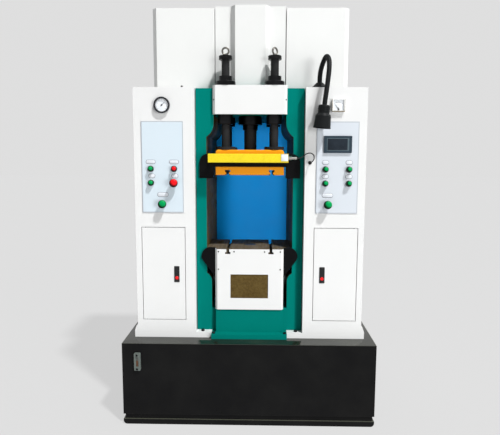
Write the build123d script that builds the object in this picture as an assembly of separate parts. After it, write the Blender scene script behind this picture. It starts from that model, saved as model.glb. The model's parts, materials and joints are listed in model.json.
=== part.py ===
"""Deep-drawing hydraulic press on an oil-tank base, with two control cabinets and a work lamp.

Millimetres, +Z up. The front faces -Y, and the origin is the middle of the base's underside.
Each function makes one sub-part; build_nodes() names them and main() writes one file per node.
"""

import os
from math import radians, tan

from build123d import *

# Fits that several pieces share
overrun = 5.0
running_clearance = 0.05
sliding_clearance = 0.3
seat_clearance = 0.2

# Base tank: a closed oil tank on a skid frame that is open underneath
base_width = 1226.0
base_depth = 816.0
base_height = 410.0
tank_wall = 6.0
tank_top_plate = 10.0
skid_height = 56.0
skid_rail_width = 70.0
skid_groove_low = 26.0
skid_groove_height = 26.0
skid_groove_depth = 8.0
skid_corner_radius = 18.0
drain_boss_radius = 30.0
drain_boss_above_floor = 110.0

# Oil level gauge on the tank's front
gauge_plate_width = 31.0
gauge_plate_height = 88.0
gauge_plate_depth = 12.0
gauge_plate_radius = 6.0
gauge_plate_from_side = 76.0
gauge_plate_below_deck = 88.0
sight_slot_width = 12.0
sight_slot_height = 46.0
sight_slot_depth = 5.0
gauge_bolt_spacing = 69.0
gauge_bolt_radius = 5.5
gauge_bolt_head = 5.0

# Press frame: two side columns, a crown and a bed
frame_setback = 133.0
column_depth = 585.0
column_height = 1194.0
column_thickness = 50.0
window_half_width = 211.0
crown_step = 36.0
bed_step = 24.0
crown_gusset_below_top = 230.0
crown_gusset_arc = 67.0
bed_gusset_high = 252.0
bed_gusset_arc = 40.0
press_axis_setback = 120.0

# Foot plates that carry the columns and the cabinets
foot_thickness = 28.0
foot_flare = 15.0
foot_shoulder = 34.0
foot_edge = 8.0
foot_rear_reach = 40.0
foot_bolt_reach = 20.0
foot_bolt_from_column = 21.0
foot_bolt_radius = 7.0

# Crown block and its sheet cover
crown_height = 136.0
crown_rise = 12.0
crown_nose = 22.5
crown_cover_lap = 3.0
crown_cover_chamfer = 12.0
sheet = 2.5

# Bed block, its front apron and foot, and the table's pedestal
bed_height = 142.0
apron_inset = 21.0
apron_reach = 25.0
bed_foot_reach = 62.0
bed_foot_height = 25.0
pedestal_height = 254.0
pedestal_margin = 8.0
pedestal_wall = 16.0
pedestal_top = 20.0

# Table plate, its sheet cover and the mesh behind the cover's window
table_width = 336.0
table_depth = 300.0
table_thickness = 50.0
table_cover_chamfer = 10.0
slot_offset = 106.0
slot_neck_width = 14.0
slot_head_width = 26.0
slot_head_height = 10.0
slot_depth = 24.0
mesh_window_width = 186.0
mesh_window_height = 120.0
mesh_window_above_bed = 118.0
mesh_lap = 8.0
mesh_thickness = 2.5
mesh_bar = 5.0
mesh_columns = 14
mesh_rows = 8

# Slide and the four guide rods that it hangs on
slide_width = 330.0
slide_depth = 290.0
slide_height = 121.0
slide_below_crown = 168.0
slide_shoulder_radius = 14.0
slide_edge_chamfer = 4.0
rod_radius = 19.5
rod_offset_x = 118.0
rod_offset_y = 100.0
rod_flange_radius = 47.0
rod_flange_height = 15.0
rod_length = 446.0
bush_flange_radius = 48.0
bush_flange_height = 22.0
bush_hub_radius = 32.0
bush_hub_height = 24.0
bush_sleeve_radius = 25.0
bush_nose_radius = 36.5
bush_nose_height = 46.0
bush_edge_chamfer = 2.0
collar_radius = 32.0
collar_height = 19.0
eye_ring_radius = 15.5
eye_wire_radius = 4.5
eye_foot_radius = 11.0
eye_foot_height = 6.0
right_eye_turn = 45.0

# Main cylinder, its gland nut and the ram
barrel_radius = 52.0
barrel_bore_radius = 40.0
barrel_flange_radius = 64.0
barrel_flange_height = 30.0
barrel_top_height = 346.0
barrel_end = 30.0
barrel_nose = 30.0
nut_radius = 59.0
nut_web = 12.0
gland_radius = 38.0
gland_height = 26.0
ram_radius = 31.0
ram_socket_depth = 20.0
piston_height = 50.0
piston_headroom = 112.0

# Ejector under the table
ejector_rod_radius = 29.0
ejector_rod_length = 256.0
ejector_hole_play = 2.0
ejector_below_table = 1.0
ejector_barrel_radius = 45.0
ejector_barrel_height = 206.0
ejector_wall = 9.0
ejector_foot = 12.0

# Upper covers
upper_cover_inset = 76.0
upper_cover_height = 389.0
upper_cover_setback = 75.0
upper_cover_depth = 500.0
upper_cover_chamfer = 20.0
cover_seam = 3.0
centre_cover_extra = 8.0
bulge_half_width = 74.0
bulge_foot_half_width = 95.0
bulge_reach = 30.0
centre_cover_setback = 80.0

# Rear guard sheet
guard_overlap = 24.0
guard_low = 150.0
guard_below_top = 114.0
guard_radius = 15.0

# Light bar across the front of the window, and its brackets
bar_left_inset = 16.0
bar_right_inset = 28.0
bar_height = 42.0
bar_depth = 35.0
bar_radius = 4.0
bar_above_slide_foot = 81.0
bar_standoff = 52.0
bar_lens_width = 12.0
bar_lens_depth = 2.0
bracket_thickness = 12.0
bracket_inner_reach = 36.0
bracket_outer_reach = 33.0
bracket_height = 118.0
bracket_below_bar_top = 118.0
bracket_radius = 42.0
standoff_width = 10.0
rail_thickness = 8.0
rail_end = 3.0
rail_below_bar = 20.0
table_bracket_reach = 26.0
table_bracket_height = 149.0
table_bracket_above = 5.0
table_bracket_shoulder = 55.0
table_bracket_radius = 42.0
table_bracket_knee_radius = 30.0
gland_hex_radius = 11.0
gland_hex_length = 16.0
gland_nose_radius = 7.0
gland_nose_length = 24.0
cable_radius = 2.5

# Cabinets, their doors and hinges
cabinet_width = 291.0
cabinet_proud = 40.0
cabinet_gap = 3.0
panel_width = 200.0
panel_height = 436.0
panel_thickness = 3.0
panel_below_top = 159.0
panel_from_side = 137.0
panel_cut_margin = 10.0
door_width = 209.0
door_above_foot = 65.0
door_below_panel = 74.0
door_outer_margin = 31.0
door_gap = 2.5
door_pan_depth = 18.0
hinge_from_edge = 16.0
hinge_behind_face = 7.0
hinge_pin_radius = 3.0
hinge_pin_grip = 8.0
hinge_lug_height = 6.0
hinge_lug_half_width = 10.0

# Flush latch in each door
latch_from_edge = 41.0
latch_below_middle = 1.0
latch_width = 26.0
latch_height = 80.0
latch_flange = 2.0
latch_case_inset = 2.0
latch_case_depth = 14.0
latch_radius = 3.0
lever_width = 16.0
lever_top = 35.0
lever_length = 39.0
lever_thickness = 4.0
lever_play = 1.0
lever_pin_radius = 1.5
lever_pin_reach = 2.0
lever_pin_from_top = 3.0
latch_button_radius = 8.2
latch_button_low = 18.0
latch_button_proud = 2.0
latch_button_length = 9.0

# Push buttons
button_column_offset = 56.0
upper_row_below_panel_top = 225.0
button_row_spacing = 67.0
start_row_above_panel_foot = 43.0
right_start_offset = -44.0
bezel_radius = 15.0
bezel_bore = 12.7
bezel_height = 10.0
bezel_chamfer = 1.0
cap_proud = 8.0
cap_sunk = 5.5
cap_edge_radius = 2.0
stem_radius = 9.0
stem_length = 22.0
panel_hole_radius = 11.2
mushroom_radius = 20.0
mushroom_height = 12.0
mushroom_lift = 10.0
mushroom_edge = 5.0

# Instruments on the cabinets' upper fronts
instrument_below_top = 84.0
dial_from_side = 139.0
dial_rim_radius = 38.0
dial_rim_height = 16.0
dial_radius = 33.0
dial_depth = 10.0
dial_body_radius = 29.0
dial_body_depth = 30.0
meter_size = 60.0
meter_height = 14.0
meter_window = 50.0
meter_depth = 8.0
meter_body_radius = 25.0
meter_radius = 3.0
meter_pivot_below = 16.0
needle_length = 26.0
needle_tail = 8.0
needle_width = 3.0
needle_thickness = 1.0
needle_lift = 2.0
needle_hub_radius = 4.0
needle_pin_radius = 1.2
needle_pin_length = 3.5
dial_needle_turn = 45.0
meter_needle_turn = -40.0
meter_needle_length = 30.0
screen_width = 132.0
screen_height = 80.0
screen_depth = 8.0
screen_below_panel_top = 107.0
screen_glass_width = 106.0
screen_glass_height = 60.0
screen_glass_depth = 1.5
screen_radius = 3.0
screen_body_inset = 7.0
screen_body_depth = 38.0

# Work lamp: foot and gooseneck, then socket and shade
lamp_foot_radius = 36.0
lamp_foot_neck_radius = 16.0
lamp_foot_height = 27.0
lamp_foot_rim = 7.0
lamp_neck_radius = 11.0
lamp_from_side = 69.0
lamp_behind_face = 53.0
lamp_neck_rise_shares = (0.0, 0.34, 0.69, 0.96, 1.0, 0.87, 0.59, 0.19, -0.31, -0.7, -0.97)
lamp_neck_side_shares = (0.0, 0.0, 0.26, 0.6, 0.8, 0.98, 1.0, 0.86, 0.64, 0.45, 0.36)
lamp_neck_front_shares = (0.0, 0.0, 0.05, 0.18, 0.36, 0.56, 0.74, 0.88, 0.97, 1.0, 1.0)
lamp_neck_rise = 118.0
lamp_neck_side = 35.0
lamp_neck_front = 102.0
arc_reach_share = 0.45
shade_radius = 40.0
shade_length = 66.0
shade_shoulder_radius = 36.0
shade_shoulder_drop = 12.0
shade_wall = 1.5
socket_radius = 27.0
socket_length = 38.0
socket_rim = 4.0

# Hydraulic power unit in the left cabinet, electrical plate in the right one
motor_radius = 74.0
motor_length = 210.0
motor_fin_depth = 6.0
motor_fin_width = 5.0
motor_fin_count = 16
fan_cover_radius = 76.0
fan_cover_length = 60.0
bell_radius = 60.0
bell_length = 70.0
pump_radius = 48.0
pump_length = 80.0
unit_plate = 12.0
unit_plate_half_width = 90.0
unit_behind_face = 420.0
manifold_size = 70.0
manifold_length = 120.0
device_plate_width = 230.0
device_plate_below_top = 144.0
device_plate_low = 150.0
device_plate_thickness = 3.0
device_standoff = 20.0
device_standoff_radius = 8.0
device_rail_count = 5
device_width = 45.0
device_height = 85.0
device_depth = 75.0
device_per_rail = 4

# Cable of the bar: bends after the gland, as (along X, along Y, along Z) from the gland's nose
cable_bends = [
    (18.0, 0.0, 0.0),
    (35.0, -5.5, 15.0),
    (51.0, -10.5, 25.0),
    (68.0, -13.5, 25.0),
    (80.0, -13.5, 13.0),
    (81.0, -9.5, -4.0),
    (73.0, 1.5, -15.0),
]
cable_entry_from_side = 24.0
cable_entry_drop = 21.0
cable_entry_run = 15.0

# Places worked out from the sizes above
base_front = -base_depth / 2
gauge_plate_above_floor = base_height - gauge_plate_below_deck
column_front = base_front + frame_setback
column_rear = column_front + column_depth
column_outer = window_half_width + column_thickness
column_foot = base_height + foot_thickness
column_top = column_foot + column_height
press_y = column_front + press_axis_setback
crown_half_width = window_half_width - crown_step
crown_cover_half_width = crown_half_width + crown_cover_lap
bed_half_width = window_half_width - bed_step
apron_half_width = bed_half_width - apron_inset
crown_top = column_top + crown_rise
crown_bottom = crown_top - crown_height
crown_front = column_front - crown_nose
centre_cover_half_width = crown_half_width - cover_seam
bed_top = base_height + bed_height
table_bottom = bed_top + pedestal_height
table_top = table_bottom + table_thickness
table_half = table_width / 2
table_front = press_y - table_depth / 2
table_rear = press_y + table_depth / 2
slide_top = crown_bottom - slide_below_crown
slide_bottom = slide_top - slide_height
slide_front = press_y - slide_depth / 2
cabinet_inner = column_outer + cabinet_gap
cabinet_outer = cabinet_inner + cabinet_width
cabinet_front = column_front - cabinet_proud
cabinet_top = column_top
upper_cover_half_width = cabinet_outer - upper_cover_inset
panel_front = cabinet_front - panel_thickness
panel_top = cabinet_top - panel_below_top
panel_above_floor = panel_top - panel_height
panel_centre = cabinet_outer - panel_from_side
upper_row_above_floor = panel_top - upper_row_below_panel_top
lower_row_above_floor = upper_row_above_floor - button_row_spacing
start_row_above_floor = panel_above_floor + start_row_above_panel_foot
screen_above_floor = panel_top - screen_below_panel_top
instrument_above_floor = cabinet_top - instrument_below_top
dial_centre = cabinet_outer - dial_from_side
bezel_front = panel_front - bezel_height
door_outer = cabinet_outer - door_outer_margin
door_inner = door_outer - door_width
door_above_floor = column_foot + door_above_foot
door_top = panel_above_floor - door_below_panel
hinge_x = door_outer - hinge_from_edge
hinge_y = cabinet_front + hinge_behind_face
latch_x = door_inner + latch_from_edge
latch_front = cabinet_front - latch_flange
latch_above_floor = (door_above_floor + door_top) / 2 - latch_below_middle
lever_pivot_z = latch_above_floor + lever_top - lever_pin_from_top
bar_z = slide_bottom + bar_above_slide_foot
bar_left = window_half_width - bar_left_inset
bar_right = window_half_width - bar_right_inset
bracket_inner = window_half_width - bracket_inner_reach
bracket_outer = window_half_width + bracket_outer_reach
table_bracket_outer = window_half_width + table_bracket_reach
cable_entry_x = cabinet_inner + cable_entry_from_side
cable_entry_z = bar_z - cable_entry_drop
lamp_foot_x = cabinet_inner + lamp_from_side
lamp_foot_y = cabinet_front + lamp_behind_face
bar_back = column_front - bar_standoff
bar_front = bar_back - bar_depth
bar_y = (bar_front + bar_back) / 2
gland_end = bar_right + gland_hex_length + gland_nose_length
rod_rows = (press_y - rod_offset_y, press_y + rod_offset_y)
rod_places = [(x, y) for y in rod_rows for x in (-rod_offset_x, rod_offset_x)]
rod_top = slide_top + rod_length
barrel_top = crown_top + barrel_top_height
device_plate_foot = column_foot + device_plate_low
device_plate_height = column_top - device_plate_below_top - device_plate_foot


def block(x_span, y_span, z_span):
    """Box between three pairs of limits."""
    spans = (x_span, y_span, z_span)
    middle = Pos(*[(low + high) / 2 for low, high in spans])
    return middle * Box(*[high - low for low, high in spans])


def post(x, y, z_span, radius):
    """Upright cylinder."""
    low, high = z_span
    return Pos(x, y, (low + high) / 2) * Cylinder(radius, high - low)


def spigot(x, z, y_span, radius):
    """Cylinder that lies along the depth of the press."""
    low, high = y_span
    return Pos(x, (low + high) / 2, z) * Rot(90, 0, 0) * Cylinder(radius, high - low)


def front_outline(lines, y_span):
    """Closed outline in the front view, extruded through a depth."""
    low, high = y_span
    face = Plane.XZ * make_face(lines)
    return Pos(0, high, 0) * extrude(face, amount=high - low)


def plan_outline(points, z_span):
    """Closed polygon in the plan view, extruded upwards."""
    low, high = z_span
    return Pos(0, 0, low) * extrude(make_face(Polyline(*points, close=True)), amount=high - low)


def turned(points):
    """Solid of revolution about Z from (radius, height) points."""
    return revolve(Plane.XZ * make_face(Polyline(*points, close=True)), axis=Axis.Z)


def mirrored(shape):
    """The same piece on the press's other side."""
    return mirror(shape, about=Plane.YZ)


def both_sides(shape):
    """A right-hand piece and its left-hand twin."""
    return [mirrored(shape), shape]


def wrap_points(half_width, front, rear, chamfer):
    """Plan outline of a box whose two front corners are chamfered."""
    return [
        (-half_width, rear),
        (-half_width, front + chamfer),
        (-half_width + chamfer, front),
        (half_width - chamfer, front),
        (half_width, front + chamfer),
        (half_width, rear),
    ]


def wrap_cover(half_width, front, rear, chamfer, z_span):
    """Sheet folded round a front and two sides, open above, below and behind."""
    low, high = z_span
    inner_chamfer = chamfer - sheet * tan(radians(45 / 2))
    outer = plan_outline(wrap_points(half_width, front, rear, chamfer), z_span)
    inside = wrap_points(half_width - sheet, front + sheet, rear + overrun, inner_chamfer)
    return outer - plan_outline(inside, (low - overrun, high + overrun))


def base_tank():
    """Closed tank on a grooved skid rail, with a drain boss on its back."""
    half = base_width / 2
    corners = [(-half, 0), (half, 0), (half, base_height), (-half, base_height)]
    outline = make_face(Polyline(*corners, close=True))
    outline = fillet(outline.vertices().group_by(Axis.Y)[0], skid_corner_radius)
    body = Pos(0, base_depth / 2, 0) * extrude(Plane.XZ * outline, amount=base_depth)
    rail_x = half - skid_rail_width
    rail_y = base_depth / 2 - skid_rail_width
    body -= block((-rail_x, rail_x), (-rail_y, rail_y), (-overrun, skid_height))
    wall_x = half - tank_wall
    wall_y = base_depth / 2 - tank_wall
    room_z = (skid_height + tank_wall, base_height - tank_top_plate)
    body -= block((-wall_x, wall_x), (-wall_y, wall_y), room_z)
    groove_z = (skid_groove_low, skid_groove_low + skid_groove_height)
    far_x = half + overrun
    far_y = base_depth / 2 + overrun
    core_x = half - skid_groove_depth
    core_y = base_depth / 2 - skid_groove_depth
    groove = block((-far_x, far_x), (-far_y, far_y), groove_z)
    body -= groove - block((-core_x, core_x), (-core_y, core_y), groove_z)
    boss_y = (base_depth / 2, base_depth / 2 + gauge_plate_depth + gauge_bolt_head)
    return body + spigot(0, drain_boss_above_floor, boss_y, drain_boss_radius)


def level_gauge():
    """Gauge body with its sight slot and two bolt heads."""
    x = -base_width / 2 + gauge_plate_from_side
    z = gauge_plate_above_floor
    plate = Box(gauge_plate_width, gauge_plate_depth, gauge_plate_height)
    plate = fillet(plate.edges().filter_by(Axis.Y), gauge_plate_radius)
    slot_y = -gauge_plate_depth / 2 + sight_slot_depth / 2
    plate -= Pos(0, slot_y, 0) * Box(sight_slot_width, sight_slot_depth, sight_slot_height)
    face_y = -gauge_plate_depth / 2
    for side in (-1, 1):
        plate += spigot(0, side * gauge_bolt_spacing / 2, (face_y - gauge_bolt_head, 0), gauge_bolt_radius)
    return Pos(x, base_front - gauge_plate_depth / 2, z) * plate


def foot_plate():
    """Right foot plate: a slab with a sloped shoulder along the cabinet's outer foot."""
    outer = cabinet_outer + foot_flare
    rise = column_foot + foot_shoulder
    outline = Polyline(
        (bed_half_width, base_height),
        (outer, base_height),
        (outer, column_foot + foot_edge),
        (cabinet_outer + foot_flare / 3, rise),
        (cabinet_outer, rise),
        (cabinet_outer, column_foot),
        (bed_half_width, column_foot),
        close=True,
    )
    plate = front_outline(outline, (cabinet_front, column_rear + foot_rear_reach))
    hole_x = window_half_width + foot_bolt_from_column
    for hole_y in (column_front - foot_bolt_reach, column_rear + foot_bolt_reach):
        plate -= post(hole_x, hole_y, (base_height - overrun, column_foot + overrun), foot_bolt_radius)
    return plate


def column():
    """Right column: a thick plate that widens inwards at the bed and at the crown."""
    bed_arc_low = column_foot + bed_gusset_high
    crown_arc_low = column_top - crown_gusset_below_top
    crown_arc_high = crown_arc_low + crown_gusset_arc
    bed_arc_end = (window_half_width, bed_arc_low + bed_gusset_arc)
    bed_arc = TangentArc((bed_half_width, bed_arc_low), bed_arc_end, tangent=(0, 1))
    crown_arc_end = (window_half_width, crown_arc_low)
    crown_arc = TangentArc((crown_half_width, crown_arc_high), crown_arc_end, tangent=(0, -1))
    lines = [
        Line(bed_arc @ 1, crown_arc @ 1),
        bed_arc,
        crown_arc,
        Polyline(
            (crown_half_width, crown_arc_high),
            (crown_half_width, column_top),
            (column_outer, column_top),
            (column_outer, column_foot),
            (bed_half_width, column_foot),
            (bed_half_width, bed_arc_low),
        ),
    ]
    return front_outline(lines, (column_front, column_rear))


def crown_beam():
    """Crown block with the bores for the main cylinder and the guide bushes."""
    z_span = (crown_bottom, crown_top)
    nose_half = crown_cover_half_width - sheet
    beam = block((-crown_half_width, crown_half_width), (column_front, column_rear), z_span)
    nose = wrap_points(nose_half, crown_front, column_front, crown_cover_chamfer)
    beam += plan_outline(nose, z_span)
    bore_z = (crown_bottom - overrun, crown_top + overrun)
    beam -= post(0, press_y, bore_z, barrel_radius + seat_clearance)
    for x, y in rod_places:
        beam -= post(x, y, bore_z, bush_sleeve_radius + seat_clearance)
    return beam


def crown_cover():
    """Folded sheet round the crown's nose."""
    front = crown_front - sheet
    z_span = (crown_bottom, crown_top)
    return wrap_cover(crown_cover_half_width, front, column_front, crown_cover_chamfer, z_span)


def bed_beam():
    """Bed block with its front apron and foot, and the open-fronted pedestal of the table."""
    bed_z = (base_height, bed_top)
    bed = block((-bed_half_width, bed_half_width), (column_front, column_rear), bed_z)
    apron_front = column_front - apron_reach
    bed += block((-apron_half_width, apron_half_width), (apron_front, column_front), bed_z)
    foot_z = (base_height, base_height + bed_foot_height)
    bed += block((-bed_half_width, bed_half_width), (column_front - bed_foot_reach, column_front), foot_z)
    half = table_half - pedestal_margin
    pedestal_y = (table_front + pedestal_margin, table_rear - pedestal_margin)
    bed += block((-half, half), pedestal_y, (bed_top, table_bottom))
    inner = half - pedestal_wall
    room_y = (pedestal_y[0] - overrun, pedestal_y[1] - pedestal_wall)
    bed -= block((-inner, inner), room_y, (bed_top, table_bottom - pedestal_top))
    hole_radius = ejector_rod_radius + ejector_hole_play
    return bed - post(0, press_y, (bed_top, table_bottom + overrun), hole_radius)


def t_slot(x, mouth_z, up, y_span):
    """T-slot cutter along the depth; up is 1 for a slot that opens upwards and -1 for downwards."""
    far = mouth_z + up * overrun
    floor_z = mouth_z - up * slot_depth
    head_z = floor_z + up * slot_head_height
    neck = block((x - slot_neck_width / 2, x + slot_neck_width / 2), y_span, sorted((floor_z, far)))
    head = block((x - slot_head_width / 2, x + slot_head_width / 2), y_span, sorted((floor_z, head_z)))
    return neck + head


def table_slots():
    """Cutters of the table's two T-slots, long enough for the plate and its cover."""
    y_span = (table_front - overrun, table_rear + overrun)
    return [t_slot(x, table_top, 1, y_span) for x in (-slot_offset, slot_offset)]


def table_plate():
    """T-slotted plate that fills the window between the columns, with a narrower nose and the ejector's hole."""
    half = table_half - sheet
    inner_chamfer = table_cover_chamfer - sheet * tan(radians(45 / 2))
    points = wrap_points(half, table_front + sheet, table_rear, inner_chamfer)
    plate = plan_outline(points, (table_bottom, table_top))
    wing = window_half_width - seat_clearance
    plate += block((-wing, wing), (column_front, table_rear), (table_bottom, table_top))
    hole_z = (table_bottom - overrun, table_top + overrun)
    plate -= post(0, press_y, hole_z, ejector_rod_radius + ejector_hole_play)
    return plate - table_slots()


def table_cover():
    """Folded sheet round the table's nose, notched for the T-slots, with the mesh window."""
    cover = wrap_cover(table_half, table_front, column_front, table_cover_chamfer, (bed_top, table_top))
    half = mesh_window_width / 2
    middle = bed_top + mesh_window_above_bed
    window_z = (middle - mesh_window_height / 2, middle + mesh_window_height / 2)
    cover -= block((-half, half), (table_front - overrun, table_front + sheet + overrun), window_z)
    return cover - table_slots()


def table_mesh():
    """Grille behind the window: a frame with a grid of square gaps."""
    middle = bed_top + mesh_window_above_bed
    width = mesh_window_width + 2 * mesh_lap
    height = mesh_window_height + 2 * mesh_lap
    panel = Box(width, mesh_thickness, height)
    pitch_x = mesh_window_width / mesh_columns
    pitch_z = mesh_window_height / mesh_rows
    gap = Box(pitch_x - mesh_bar, pitch_z - mesh_bar, mesh_thickness + overrun)
    panel -= [place * gap for place in Plane.XZ * GridLocations(pitch_x, pitch_z, mesh_columns, mesh_rows)]
    return Pos(0, table_front + sheet + mesh_thickness / 2, middle) * panel


def slide():
    """Slide block: rounded shoulders, a ram socket above and two T-slots below."""
    half = slide_width / 2
    corners = [(-half, slide_bottom), (half, slide_bottom), (half, slide_top), (-half, slide_top)]
    outline = make_face(Polyline(*corners, close=True))
    outline = fillet(outline.vertices().group_by(Axis.Y)[-1], slide_shoulder_radius)
    rear = slide_front + slide_depth
    body = Pos(0, rear, 0) * extrude(Plane.XZ * outline, amount=slide_depth)
    body = chamfer(body.faces().sort_by(Axis.Y)[0].edges(), slide_edge_chamfer)
    socket_z = (slide_top - ram_socket_depth, slide_top + overrun)
    body -= post(0, press_y, socket_z, ram_radius + seat_clearance)
    y_span = (slide_front - overrun, rear + overrun)
    return body - [t_slot(x, slide_bottom, -1, y_span) for x in (-slot_offset, slot_offset)]


def guide_rods():
    """Four flanged rods that stand on the slide."""
    flange_top = slide_top + rod_flange_height
    rod = turned(
        [
            (0, slide_top),
            (rod_flange_radius, slide_top),
            (rod_flange_radius, flange_top),
            (rod_radius, flange_top),
            (rod_radius, rod_top),
            (0, rod_top),
        ]
    )
    return [Pos(x, y, 0) * rod for x, y in rod_places]


def guide_bushes():
    """Four flanged bushes through the crown, each with a hub above and a nose below."""
    bore = rod_radius + running_clearance
    flange_top = crown_top + bush_flange_height
    hub_top = flange_top + bush_hub_height
    nose_low = crown_bottom - bush_nose_height
    bush = turned(
        [
            (bore, nose_low),
            (bush_nose_radius - bush_edge_chamfer, nose_low),
            (bush_nose_radius, nose_low + bush_edge_chamfer),
            (bush_nose_radius, crown_bottom),
            (bush_sleeve_radius, crown_bottom),
            (bush_sleeve_radius, crown_top),
            (bush_flange_radius, crown_top),
            (bush_flange_radius, flange_top - bush_edge_chamfer),
            (bush_flange_radius - bush_edge_chamfer, flange_top),
            (bush_hub_radius, flange_top),
            (bush_hub_radius, hub_top),
            (bore, hub_top),
        ]
    )
    return [Pos(x, y, 0) * bush for x, y in rod_places]


def stop_collars():
    """Four stop collars clamped round the rods' upper ends."""
    bore = rod_radius + running_clearance
    low = rod_top - collar_height
    collar = turned(
        [
            (bore, low),
            (collar_radius, low),
            (collar_radius, rod_top - bush_edge_chamfer),
            (collar_radius - bush_edge_chamfer, rod_top),
            (bore, rod_top),
        ]
    )
    return [Pos(x, y, 0) * collar for x, y in rod_places]


def lifting_eyes():
    """Lifting eyes on the two front rods; the right one stands turned."""
    ring_z = eye_foot_height + eye_ring_radius
    eye = Pos(0, 0, ring_z) * Rot(90, 0, 0) * Torus(eye_ring_radius, eye_wire_radius)
    eye += Pos(0, 0, eye_foot_height / 2) * Cylinder(eye_foot_radius, eye_foot_height)
    left, right = rod_places[:2]
    return [Pos(*left, rod_top) * eye, Pos(*right, rod_top) * Rot(0, 0, right_eye_turn) * eye]


def main_cylinder():
    """Flanged barrel on the crown, with its nose through the crown's bore."""
    nose_low = crown_bottom - barrel_nose
    flange_top = crown_top + barrel_flange_height
    barrel = turned(
        [
            (barrel_bore_radius, nose_low),
            (barrel_radius, nose_low),
            (barrel_radius, crown_top),
            (barrel_flange_radius, crown_top),
            (barrel_flange_radius, flange_top),
            (barrel_radius, flange_top),
            (barrel_radius, barrel_top),
            (0, barrel_top),
            (0, barrel_top - barrel_end),
            (barrel_bore_radius, barrel_top - barrel_end),
        ]
    )
    return Pos(0, press_y, 0) * barrel


def gland_nut():
    """Cup-shaped nut that holds the barrel under the crown and guides the ram."""
    bore = ram_radius + running_clearance
    cup = barrel_radius + seat_clearance
    nose_low = crown_bottom - barrel_nose
    web_low = nose_low - nut_web
    nut = turned(
        [
            (bore, web_low - gland_height),
            (gland_radius, web_low - gland_height),
            (gland_radius, web_low),
            (nut_radius, web_low),
            (nut_radius, crown_bottom),
            (cup, crown_bottom),
            (cup, nose_low),
            (bore, nose_low),
        ]
    )
    return Pos(0, press_y, 0) * nut


def main_ram():
    """Ram with its piston, standing in the slide's socket."""
    low = slide_top - ram_socket_depth
    piston_top = barrel_top - barrel_end - piston_headroom
    piston_low = piston_top - piston_height
    piston_radius = barrel_bore_radius - running_clearance
    ram = turned(
        [
            (0, low),
            (ram_radius, low),
            (ram_radius, piston_low),
            (piston_radius, piston_low),
            (piston_radius, piston_top),
            (0, piston_top),
        ]
    )
    return Pos(0, press_y, 0) * ram


def ejector_cylinder():
    """Short cylinder on the bed, closed below and guiding the ejector rod above."""
    top = bed_top + ejector_barrel_height
    bore = ejector_barrel_radius - ejector_wall
    guide = ejector_rod_radius + running_clearance
    barrel = turned(
        [
            (0, bed_top),
            (ejector_barrel_radius, bed_top),
            (ejector_barrel_radius, top),
            (guide, top),
            (guide, top - ejector_foot),
            (bore, top - ejector_foot),
            (bore, bed_top + ejector_foot),
            (0, bed_top + ejector_foot),
        ]
    )
    return Pos(0, press_y, 0) * barrel


def ejector_rod():
    """Ejector rod, just under the table's face."""
    high = table_top - ejector_below_table
    return post(0, press_y, (high - ejector_rod_length, high), ejector_rod_radius)


def side_upper_cover():
    """Right upper cover: a sheet box, open below, with its outer front corner chamfered."""
    front = column_front + upper_cover_setback
    inner = crown_half_width
    rear = front + upper_cover_depth
    points = [
        (inner, front),
        (upper_cover_half_width - upper_cover_chamfer, front),
        (upper_cover_half_width, front + upper_cover_chamfer),
        (upper_cover_half_width, rear),
        (inner, rear),
    ]
    box = plan_outline(points, (column_top, column_top + upper_cover_height))
    return offset(box, amount=-sheet, openings=box.faces().sort_by(Axis.Z)[0], kind=Kind.INTERSECTION)


def centre_upper_cover():
    """Hat-section cover round the main cylinder, open below."""
    bay = column_front + centre_cover_setback
    front = bay - bulge_reach
    rear = column_front + upper_cover_setback + upper_cover_depth
    points = [
        (-centre_cover_half_width, bay),
        (-bulge_foot_half_width, bay),
        (-bulge_half_width, front),
        (bulge_half_width, front),
        (bulge_foot_half_width, bay),
        (centre_cover_half_width, bay),
        (centre_cover_half_width, rear),
        (-centre_cover_half_width, rear),
    ]
    box = plan_outline(points, (crown_top, column_top + upper_cover_height + centre_cover_extra))
    return offset(box, amount=-sheet, openings=box.faces().sort_by(Axis.Z)[0], kind=Kind.INTERSECTION)


def rear_guard_panel():
    """Guard sheet across the back of the window."""
    half = window_half_width + guard_overlap
    low = column_foot + guard_low
    panel = block((-half, half), (column_rear, column_rear + sheet), (low, column_top - guard_below_top))
    return fillet(panel.edges().filter_by(Axis.Y), guard_radius)


def light_bar():
    """Bar housing with a lens strip let into its underside."""
    middle = (bar_right - bar_left) / 2
    length = bar_left + bar_right
    bar = Box(length, bar_depth, bar_height)
    bar = fillet(bar.edges().filter_by(Axis.X), bar_radius)
    lens_z = -bar_height / 2 + bar_lens_depth / 2
    bar -= Pos(0, 0, lens_z) * Box(length - 2 * bar_lens_width, bar_lens_width, bar_lens_depth)
    return Pos(middle, bar_y, bar_z) * bar


def bar_bracket():
    """Right bracket of the light bar: a round-shouldered plate with a stand-off."""
    top = bar_z + bar_height / 2
    low = top - bracket_below_bar_top
    outline = make_face(
        Polyline(
            (bracket_inner, low),
            (bracket_outer, low),
            (bracket_outer, low + bracket_height),
            (bracket_inner, low + bracket_height),
            close=True,
        )
    )
    outline = fillet(outline.vertices().group_by(Axis.X)[-1].group_by(Axis.Y)[-1], bracket_radius)
    plate_y = (column_front - bracket_thickness, column_front)
    plate = Pos(0, plate_y[1], 0) * extrude(Plane.XZ * outline, amount=bracket_thickness)
    rest_x = (bracket_inner, bracket_inner + standoff_width)
    rest_z = (bar_z - bar_height / 2 + bar_radius, bar_z + bar_height / 2 - bar_radius)
    return plate + block(rest_x, (bar_back, plate_y[0]), rest_z)


def bar_carrier():
    """Both brackets of the light bar, joined by the flat rail that the bar is screwed to."""
    rail_x = (rail_end - bar_left, bar_right - rail_end)
    rail_z = (bar_z - bar_height / 2 - rail_below_bar, bar_z)
    rail = block(rail_x, (bar_back, bar_back + rail_thickness), rail_z)
    left, right = both_sides(bar_bracket())
    return left + rail + right


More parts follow.
